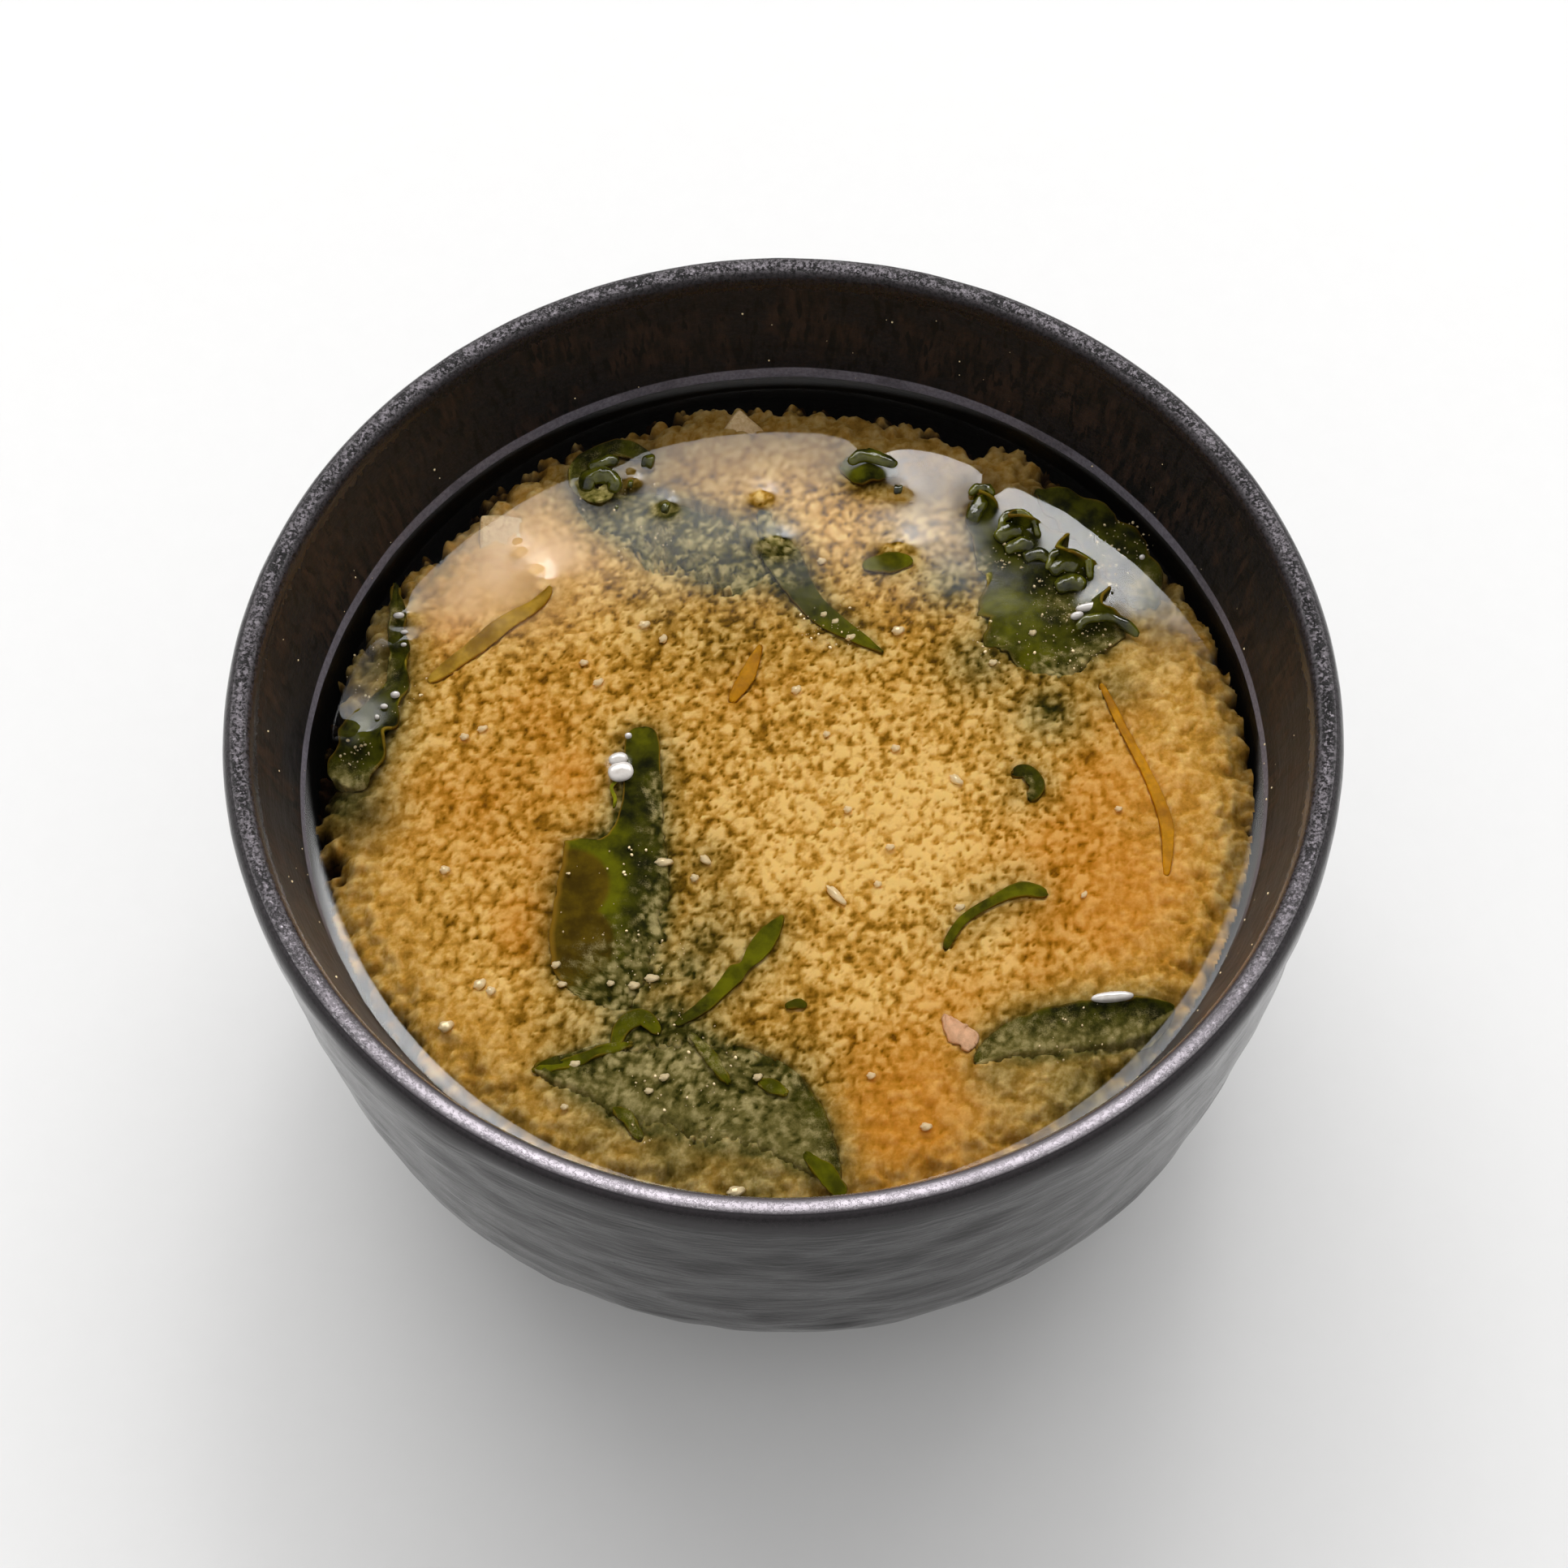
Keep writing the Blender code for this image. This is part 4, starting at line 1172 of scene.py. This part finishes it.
STRANDS = {
    "olive_strand_left": (
        [
            (-40.4, 11.6, -0.3, 0.8, 0.8), (-36.0, 15.4, 0.0, 1.0, 1.0),
            (-32.0, 19.0, 0.1, 1.1, 1.0), (-28.6, 21.4, 0.1, 0.8, 0.8),
            (-26.8, 24.0, 0.1, 0.4, 0.5),
        ],
        {"grid": (90, 14), "seed": 41, "waves": 1.5, "ruffle": 0.15, "olive": 0.9},
        "olive_strand_left",
    ),
    "bonito_flake_centre": (
        [(-5.8, 8.2, -0.3, 0.5, 0.5), (-4.0, 11.4, 0.1, 0.9, 0.9), (-2.4, 15.4, 0.1, 0.3, 0.3)],
        {"grid": (60, 12), "seed": 43, "ruffle": 0.1, "olive": 0.0},
        "bonito_flake_centre",
    ),
    "bonito_flake_front": (
        [
            (16.6, -31.2, -0.1, 0.3, 0.3), (17.0, -32.2, 0.1, 0.9, 0.7),
            (17.8, -33.4, 0.1, 1.3, 1.0), (18.8, -34.0, 0.0, 1.2, 1.2),
            (19.6, -34.6, -0.1, 1.1, 1.3),
        ],
        {"grid": (40, 14), "seed": 47, "waves": 1.5, "ragged": 0.25, "ruffle": 0.3, "olive": 2.0},
        None,
    ),
    "amber_strand_right": (
        [
            (36.4, 9.4, -0.2, 0.3, 0.3), (38.6, 3.0, -0.1, 0.5, 0.5), (41.0, -3.4, -0.1, 0.6, 0.6),
            (42.2, -9.0, -0.1, 0.7, 0.7), (41.6, -15.0, -0.3, 0.4, 0.4),
        ],
        {"grid": (90, 12), "seed": 45, "ruffle": 0.1, "sunk": 0.62, "olive": 0.0},
        None,
    ),
}


def make_ribbons():
    """Every leaf and strip; returns their points, which the miso cloud lies under."""
    look = wakame_look("wakame", False)
    leaves = []
    for name, (stations, settings, replaced) in WAKAME.items():
        leaves.append((*ribbon(name + "_leaf", look, stations, settings, replaced), 1.0))
    look = strand_look()
    for name, (stations, settings, replaced) in STRANDS.items():
        points, bare = ribbon(name + "_ribbon", look, stations, settings, replaced)
        leaves.append((points, bare, 0.0))
    return leaves


# Rolled edges that stand out of the broth: stations x, y, height, radius in mm
CURLS = [
    [(22.6, 35.2, 0.5, 0.45), (23.6, 36.0, 0.7, 0.55), (24.8, 35.9, 0.7, 0.55), (25.6, 35.0, 0.5, 0.5)],
    [(24.4, 35.4, 0.1, 0.9), (24.0, 34.0, 0.2, 0.9), (23.2, 32.6, 0.0, 1.0), (22.8, 31.4, -0.5, 0.7)],
    [(26.2, 29.4, 0.2, 0.45), (26.5, 31.6, 0.5, 0.5), (28.2, 32.4, 0.6, 0.5), (30.0, 31.2, 0.6, 0.5),
     (30.6, 29.2, 0.3, 0.5)],
    [(25.6, 29.0, 0.0, 0.9), (27.2, 30.2, 0.1, 1.0), (28.8, 30.0, 0.1, 0.9)],
    [(26.4, 27.6, -0.2, 0.9), (28.4, 28.2, 0.1, 1.0), (30.0, 28.0, 0.0, 0.8)],
    [(28.6, 26.4, -0.2, 0.9), (30.4, 26.8, 0.1, 0.9), (31.6, 26.0, -0.1, 0.7)],
    [(31.2, 24.6, 0.2, 0.45), (32.2, 26.6, 0.5, 0.5), (34.2, 26.8, 0.6, 0.5), (35.9, 25.4, 0.6, 0.5),
     (36.2, 23.2, 0.3, 0.5)],
    [(31.6, 24.2, 0.0, 1.0), (33.2, 25.2, 0.1, 1.0), (34.8, 24.4, 0.1, 1.0)],
    [(32.0, 22.2, -0.3, 1.0), (34.0, 22.8, 0.0, 1.1), (35.6, 22.2, 0.0, 0.8)],
    [(34.0, 16.4, 0.1, 0.5), (35.6, 17.6, 0.4, 0.65), (37.8, 17.7, 0.5, 0.7), (39.8, 16.6, 0.4, 0.7),
     (41.0, 15.2, 0.1, 0.5)],
    [(13.8, 36.6, 0.1, 0.6), (14.8, 36.4, 0.2, 0.6)],
    [(-22.8, 37.0, 0.1, 1.0), (-22.6, 38.6, 0.3, 1.1), (-21.0, 39.2, 0.4, 1.2), (-19.6, 38.2, 0.3, 1.1),
     (-19.9, 36.9, 0.0, 0.9)],
    [(-22.6, 40.2, 0.2, 0.8), (-21.0, 41.2, 0.3, 0.9), (-19.0, 41.6, 0.2, 0.7)],
    [(-13.8, 34.6, 0.1, 0.7), (-13.0, 34.3, 0.1, 0.7)],
    [(-17.9, 38.2, 0.0, 0.5), (-17.3, 38.1, 0.0, 0.5)],
    [(-19.4, 34.9, -0.1, 0.4), (-19.0, 34.8, -0.1, 0.4)],
    [(-16.2, 41.6, 0.0, 0.8), (-14.8, 41.2, 0.0, 0.9)],
    [(8.4, 40.6, 0.1, 0.7), (10.6, 41.4, 0.2, 1.0), (13.0, 40.6, 0.1, 0.9), (14.2, 39.8, 0.0, 0.6)],
]


CURL_GRID = (30, 18)


def make_curls():
    """Rolled and knobbed leaf edges, as lumpy tubes with rounded ends."""
    rings, sides = CURL_GRID
    turn = np.linspace(0, 2 * np.pi, sides, endpoint=False)[None, :]
    points, faces, thin = [], [], []
    for number, stations in enumerate(CURLS):
        place = 0.5 - 0.5 * np.cos(np.pi * np.linspace(0, 1, rings))
        values = catmull_rom(stations, place) * MM
        heading = np.gradient(values[:, :2], axis=0)
        heading /= np.linalg.norm(heading, axis=1)[:, None] + 1e-9
        normal = np.stack([-heading[:, 1], heading[:, 0]], axis=1)
        cap = np.sqrt(np.clip(1 - (2 * place - 1) ** 6, 0.0004, 1))[:, None]
        radius = values[:, 3:4] * cap
        x = values[:, 0:1] + normal[:, 0:1] * radius * np.cos(turn)
        y = values[:, 1:2] + normal[:, 1:2] * radius * np.cos(turn)
        z = LEVEL + values[:, 2:3] + 0.75 * radius * np.sin(turn)
        bump = 0.20 * MM * value_noise(x + z, y - z, 0.8 * MM, 200 + number)
        bump = bump + 0.07 * MM * value_noise(x - z, y + z, 0.45 * MM, 230 + number)
        x = x + bump * normal[:, 0:1] * np.cos(turn)
        y = y + bump * normal[:, 1:2] * np.cos(turn)
        z = z + bump * np.sin(turn)
        first = sum(len(p) for p in points)
        points.append(np.stack([x, y, z], -1).reshape(-1, 3))
        thin.append(np.full(rings * sides, 0.4 if values[:, 3].max() < 0.56 * MM else 0.1))
        faces.append(grid_faces(rings, sides, closed=True)[:, [0, 3, 2, 1]] + first)
    look = wakame_look("wet_wakame", True)
    piece = mesh_object("wakame_curls", np.concatenate(points), np.concatenate(faces), look)
    give(piece, "thin", np.concatenate(thin))
    close_holes(piece)


# For each tofu block: x and y of its tip, how deep the rest lies and within what reach, mm
TOFU_TIPS = {"tofu_block_back": (-4.6, 49.6, 1.2, 6.0), "tofu_block_left": (-35.8, 34.4, 1.0, 6.0)}


def make_tofu():
    """A softer, slightly uneven block in the place of each CAD block, sunk but for its tip."""
    look = tofu_look()
    for name, (tip_x, tip_y, sunk, reach) in TOFU_TIPS.items():
        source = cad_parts[name]
        shape = bmesh.new()
        shape.from_mesh(source.data)
        bmesh.ops.remove_doubles(shape, verts=shape.verts, dist=0.01 * MM)
        bmesh.ops.subdivide_edges(shape, edges=shape.edges, cuts=7, use_grid_fill=True)
        for vertex in shape.verts:
            spot = vertex.co / MM
            away = math.hypot(spot.x - tip_x, spot.y - tip_y) / reach
            shift = 0.12 * math.sin(1.3 * spot.x + 0.7 * spot.z) * math.cos(1.1 * spot.y)
            vertex.co += vertex.normal * shift * MM
            vertex.co.z -= sunk * MM * min(1.0, away)
        mesh = bpy.data.meshes.new(name + "_curd")
        shape.to_mesh(mesh)
        shape.free()
        mesh.shade_smooth()
        mesh.materials.clear()
        mesh.materials.append(look)
        piece = bpy.data.objects.new(name + "_curd", mesh)
        bpy.context.scene.collection.objects.link(piece)
        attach(piece, "root")
        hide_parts(name)


# ---------------------------------------------------------------- grains and bubbles

def ball(levels):
    """Points and faces of a round ball of radius 1."""
    shape = bmesh.new()
    bmesh.ops.create_icosphere(shape, subdivisions=levels, radius=1.0)
    points = np.array([v.co for v in shape.verts])
    faces = np.array([[v.index for v in f.verts] for f in shape.faces])
    shape.free()
    return points, faces


def scatter(name, look, centres, sizes, turns, levels, attributes=(), lumpy=0.0):
    """One mesh of many small balls, each stretched to its sizes and turned about +Z."""
    points, faces = ball(levels)
    points = np.sign(points) * np.abs(points) ** 0.9
    count = len(centres)
    bumps = 1 + lumpy * np.sin(5 * points[:, 0] + 4 * points[:, 1] * points[:, 2] + 2)
    bumps = bumps + lumpy * np.sin(6 * points[:, 1] - 5 * points[:, 0] * points[:, 2] + 1)
    points = points * bumps[:, None]
    cos, sin = np.cos(turns)[:, None], np.sin(turns)[:, None]
    stretched = points[None] * sizes[:, None, :]
    x = stretched[..., 0] * cos - stretched[..., 1] * sin
    y = stretched[..., 0] * sin + stretched[..., 1] * cos
    placed = np.stack([x, y, stretched[..., 2]], -1) + centres[:, None, :]
    offsets = (np.arange(count) * len(points))[:, None, None]
    every = (faces[None] + offsets).reshape(-1, 3)
    piece = mesh_object(name, placed.reshape(-1, 3), every, look)
    for label, values in attributes:
        give(piece, label, np.repeat(values, len(points)))
    return piece


# Pale rice koji grains: x, y, length, width, turn in degrees
KOJI = [
    (-15.8, 18.5, 1.3, 0.9, 10), (-13.6, 16.5, 1.1, 0.8, 60), (-22.7, 13.5, 1.0, 0.7, 0),
    (-21.0, 10.8, 1.3, 0.8, 30), (-34.0, 5.0, 1.2, 0.7, 20), (-36.0, 4.0, 1.0, 0.8, 0),
    (5.4, -16.8, 2.9, 0.9, -50), (-8.8, -12.2, 1.4, 0.8, -45), (-13.4, -12.4, 1.9, 0.9, 0),
    (-10.0, -14.4, 0.9, 0.8, 0), (11.5, -11.1, 1.0, 0.7, 10), (10.0, -15.6, 0.8, 0.7, 0),
    (7.0, -6.3, 0.9, 0.8, 0), (19.2, -2.8, 1.7, 0.9, -40), (37.0, -6.9, 0.8, 0.6, 0),
    (1.6, 9.3, 1.2, 0.9, 30), (-14.6, -26.3, 1.5, 0.8, 0), (-16.5, -27.1, 1.2, 0.8, 0),
    (-19.0, -26.8, 0.8, 0.6, 0), (-24.9, -24.5, 1.0, 0.7, 20), (-24.2, -26.8, 1.0, 0.6, 0),
    (-13.2, -37.7, 1.1, 0.7, 20), (-14.8, -39.2, 0.9, 0.6, 0), (-3.4, -37.9, 1.0, 0.7, 20),
    (-22.6, -36.0, 1.2, 0.7, 10), (-23.6, -40.8, 0.8, 0.6, 0), (8.5, -38.0, 0.9, 0.7, 0),
    (14.0, -43.8, 1.2, 0.8, 0), (-37.4, -12.8, 1.1, 0.9, 0), (-33.0, -26.6, 1.4, 1.0, 30),
    (-31.8, -27.4, 1.0, 0.9, 0), (-36.4, -31.4, 1.6, 1.1, 20), (32.4, -17.4, 0.9, 0.5, 50),
    (18.8, -18.6, 1.1, 0.7, 10), (29.0, 16.3, 0.9, 0.7, 20), (13.5, 17.0, 1.4, 1.0, 10),
    (4.9, 26.8, 1.0, 0.8, 0), (12.6, 1.4, 1.0, 0.8, 0), (4.9, 3.4, 0.8, 0.7, 0),
    (-5.8, -50.4, 1.8, 1.0, 10), (5.0, 19.4, 0.8, 0.6, 30), (6.3, 18.4, 0.9, 0.6, 30),
    (8.0, 16.2, 1.2, 0.7, 20), (24.2, 12.4, 1.0, 0.7, 10),
]


def make_koji():
    """The pale rice grains that lie on the curds."""
    rng = np.random.default_rng(11)
    rows = np.array(KOJI, float)
    centres = rows[:, :2] * MM
    height = np.full(len(rows), LEVEL - 0.4 * MM)
    sizes = np.stack([rows[:, 2], rows[:, 3], rows[:, 3] * 0.8], 1) * 0.52 * MM
    scatter(
        "koji_grains", grain_look(),
        np.column_stack([centres, height]), sizes, np.radians(rows[:, 4]), 3,
        [("shade", rng.random(len(rows))), ("pale", np.ones(len(rows)))], lumpy=0.08,
    )


def make_bubbles():
    """Bubbles and beads at the level of the broth: x, y, length and width in mm."""
    rng = np.random.default_rng(5)
    # Each is opaque and pale: painted highlight for the bright reflection of bubbles and wet beads
    rows = np.array([
        (-18.2, -1.3, 2.9, 2.5), (-18.5, 0.3, 2.2, 1.6), (-17.4, 3.3, 0.8, 0.7), (-44.2, 20.0, 1.3, 0.7),
        (-43.4, 17.7, 0.9, 0.5), (-43.4, 16.0, 0.7, 0.45), (-44.0, 9.3, 1.1, 0.8), (-45.2, 7.8, 0.9, 0.6),
        (-45.9, 6.4, 0.6, 0.6), (42.4, 26.0, 0.7, 0.6), (38.6, 21.4, 0.4, 0.3), (34.4, -29.9, 4.6, 1.2),
        (36.2, 19.3, 4.2, 1.1), (34.2, 18.1, 1.6, 0.9),
    ])
    height = LEVEL + 0.30 * MM + 0 * rows[:, 0]
    sizes = np.stack([rows[:, 2], rows[:, 3], np.minimum(rows[:, 3], 1.0)], 1) * 0.5 * MM
    scatter(
        "bubbles", bubble_sheen_look(),
        np.column_stack([rows[:, :2] * MM, height]), sizes, 0.3 * rng.random(len(rows)), 3,
    )


# Where fine pale specks lie on the seaweed: x, y, radius in mm and how many
SPECKED = [
    (27, 27, 2.4, 40), (33, 21, 4.0, 90), (34, 15, 4.0, 90), (26, 15, 4.0, 30), (37, 24, 3.0, 50),
    (40, 28, 4.0, 50), (-48, 2, 2.0, 30), (-45, 12, 5.0, 30), (-21, -17, 5.0, 16),
    (-17, -12, 3, 14), (-15, -24, 4.0, 40), (6, 18, 4.0, 40), (30, -33, 5, 20), (-12, -38, 8, 60),
    (-18, 34, 7, 40),
]


SPLASH_COUNT = 90
SPLASH_REACH = 11 * MM


def make_specks():
    """Fine pale grains on and just over the seaweed, and splashes dried on the bowl's wall."""
    rng = np.random.default_rng(31)
    spots = []
    for px, py, radius, count in SPECKED:
        turn = rng.random(count) * 2 * np.pi
        reach = rng.random(count) ** 0.5 * radius
        size = 0.10 + 0.30 * rng.random(count) ** 4
        spots.append(np.stack([px + reach * np.cos(turn), py + reach * np.sin(turn), size, size], 1))
    rows = np.concatenate(spots)
    count = len(rows)
    height = LEVEL - 0.08 * MM + 0 * rows[:, 0]
    sizes = rows[:, [2, 3, 2]] * [0.65, 0.5, 0.4] * MM
    scatter(
        "pale_specks", grain_look(),
        np.column_stack([rows[:, :2] * MM, height]), sizes, rng.random(count) * 3.1, 1,
        [("shade", rng.random(count)), ("pale", 0.6 + 0.4 * rng.random(count))],
    )
    count = SPLASH_COUNT
    turn = rng.random(count) * 2 * np.pi
    rise = rng.random(count) ** 1.3
    height = LEVEL + MENISCUS_RISE + rise * SPLASH_REACH
    radius = CONTACT_RADIUS + rise * 2.5 * MM
    size = (0.06 + 0.10 * rng.random(count) ** 2) * MM
    centres = np.stack([radius * np.cos(turn), radius * np.sin(turn), height], 1)
    scatter(
        "dried_splashes", grain_look(), centres, np.stack([size] * 3, 1),
        rng.random(count), 1, [("shade", np.ones(count)), ("pale", np.ones(count))],
    )


# ---------------------------------------------------------------- stage

CAMERA_ELEVATION = math.radians(61.22)
CAMERA_DISTANCE = 0.260
CAMERA_ROLL = math.radians(1.16)
CAMERA_LENS = 57.34
CAMERA_SENSOR = 36.0
CAMERA_CLIP = 0.01
AIM_IN_FRONT = 11.92 * MM


def make_camera():
    """The camera looks down on the bowl from the front, aimed at its rim's plane."""
    camera = bpy.data.cameras.new("camera")
    camera.lens = CAMERA_LENS
    camera.sensor_width = CAMERA_SENSOR
    camera.clip_start = CAMERA_CLIP
    eye = bpy.data.objects.new("camera", camera)
    bpy.context.scene.collection.objects.link(eye)
    aim = Vector((0.0, -AIM_IN_FRONT, BOWL_HEIGHT))
    back = Vector((0.0, -math.cos(CAMERA_ELEVATION), math.sin(CAMERA_ELEVATION)))
    right = Vector((1.0, 0.0, 0.0))
    up = back.cross(right)
    cos, sin = math.cos(CAMERA_ROLL), math.sin(CAMERA_ROLL)
    turned_right = right * cos - up * sin
    turned_up = right * sin + up * cos
    axes = Matrix((turned_right, turned_up, back)).transposed()
    eye.matrix_world = Matrix.Translation(aim + back * CAMERA_DISTANCE) @ axes.to_4x4()
    bpy.context.scene.camera = eye


FLOOR_REACH = 4.0


def make_floor():
    """A plain level floor under the bowl."""
    shape = bmesh.new()
    bmesh.ops.create_grid(shape, x_segments=8, y_segments=8, size=FLOOR_REACH)
    mesh = bpy.data.meshes.new("floor")
    shape.to_mesh(mesh)
    shape.free()
    mesh.materials.append(floor_look())
    floor = bpy.data.objects.new("floor", mesh)
    bpy.context.scene.collection.objects.link(floor)


# The surroundings, each edge as the angles in degrees between which it fades: the broad soft
# panel behind the bowl, the apron over it, a brighter part of the apron to the right, the dark
# gap over that, and the dimmer front
PANEL_TOP = (44.0, 52.0)
PANEL_BOTTOM = (30.0, 38.0)
PANEL_SIDE = (38.0, 58.0)
PANEL_STRENGTH = 8.0
APRON_TOP = (54.6, 57.4)
APRON_BOTTOM = (44.0, 50.0)
APRON_SIDE = (18.0, 40.0)
APRON_STRENGTH = 5.0
BRIGHT_AZIMUTH = 13.0
BRIGHT_SPREAD = (3.0, 12.0)
BRIGHT_STRENGTH = 11.0
GAP_FOOT = (56.0, 58.0)
GAP_TOP = (74.0, 80.0)
GAP_SIDE = (30.0, 50.0)
FRONT_SIDE = (80.0, 130.0)
FRONT_TOP = (55.0, 80.0)
FRONT_DIM = 0.40
DOME_STRENGTH = 0.98
LEAST_STRENGTH = 0.02
WORLD_TINT = (1.0, 0.995, 0.99, 1.0)


def make_world():
    """Soft white surroundings with one broad soft panel behind the bowl, high up."""
    world = bpy.data.worlds.new("studio")
    bpy.context.scene.world = world
    world.use_nodes = True
    tree = world.node_tree
    tree.nodes.clear()
    place = tree.nodes.new("ShaderNodeTexCoord")
    parts = tree.nodes.new("ShaderNodeSeparateXYZ")
    tree.links.new(place.outputs["Generated"], parts.inputs[0])

    def calculate(operation, a, b=None):
        node = tree.nodes.new("ShaderNodeMath")
        node.operation = operation
        for value, target in zip((a, b), node.inputs):
            if isinstance(value, bpy.types.NodeSocket):
                tree.links.new(value, target)
            elif value is not None:
                target.default_value = value
        return node.outputs[0]

    def step(value, low, high):
        node = tree.nodes.new("ShaderNodeMapRange")
        node.interpolation_type = "SMOOTHSTEP"
        tree.links.new(value, node.inputs["Value"])
        node.inputs["From Min"].default_value = math.radians(low)
        node.inputs["From Max"].default_value = math.radians(high)
        return node.outputs["Result"]

    elevation = calculate("ARCSINE", parts.outputs["Z"])
    azimuth = calculate("ARCTAN2", parts.outputs["X"], parts.outputs["Y"])
    off_centre = calculate("ABSOLUTE", azimuth)
    off_bright = calculate("ABSOLUTE", calculate("SUBTRACT", azimuth, math.radians(BRIGHT_AZIMUTH)))

    def below(value, band):
        return calculate("SUBTRACT", 1.0, step(value, *band))

    def lamp(*parts):
        total = parts[0]
        for part in parts[1:]:
            total = calculate("MULTIPLY", total, part)
        return total

    foot = step(elevation, *PANEL_BOTTOM)
    apron = calculate("MULTIPLY", step(elevation, *APRON_BOTTOM), below(elevation, APRON_TOP))
    gap = lamp(step(elevation, *GAP_FOOT), below(elevation, GAP_TOP), below(off_centre, GAP_SIDE))
    front = calculate("MULTIPLY", step(off_centre, *FRONT_SIDE), below(elevation, FRONT_TOP))
    dark = calculate("MAXIMUM", gap, calculate("MULTIPLY", front, FRONT_DIM))
    lamps = [
        lamp(foot, below(elevation, PANEL_TOP), below(off_centre, PANEL_SIDE), PANEL_STRENGTH),
        lamp(apron, below(off_centre, APRON_SIDE), APRON_STRENGTH),
        lamp(apron, below(off_bright, BRIGHT_SPREAD), BRIGHT_STRENGTH),
        lamp(calculate("SUBTRACT", 1.0, dark), DOME_STRENGTH),
    ]
    strength = LEAST_STRENGTH
    for part in lamps:
        strength = calculate("ADD", part, strength)
    light = tree.nodes.new("ShaderNodeBackground")
    light.inputs["Color"].default_value = WORLD_TINT
    tree.links.new(strength, light.inputs["Strength"])
    output = tree.nodes.new("ShaderNodeOutputWorld")
    tree.links.new(light.outputs[0], output.inputs["Surface"])


def main():
    bpy.context.scene.view_settings.view_transform = "Standard"
    make_bowl()
    leaves = make_ribbons()
    make_cloud(leaves)
    make_surface()
    make_curls()
    make_tofu()
    make_koji()
    make_specks()
    make_bubbles()
    make_floor()
    make_world()
    make_camera()


main()
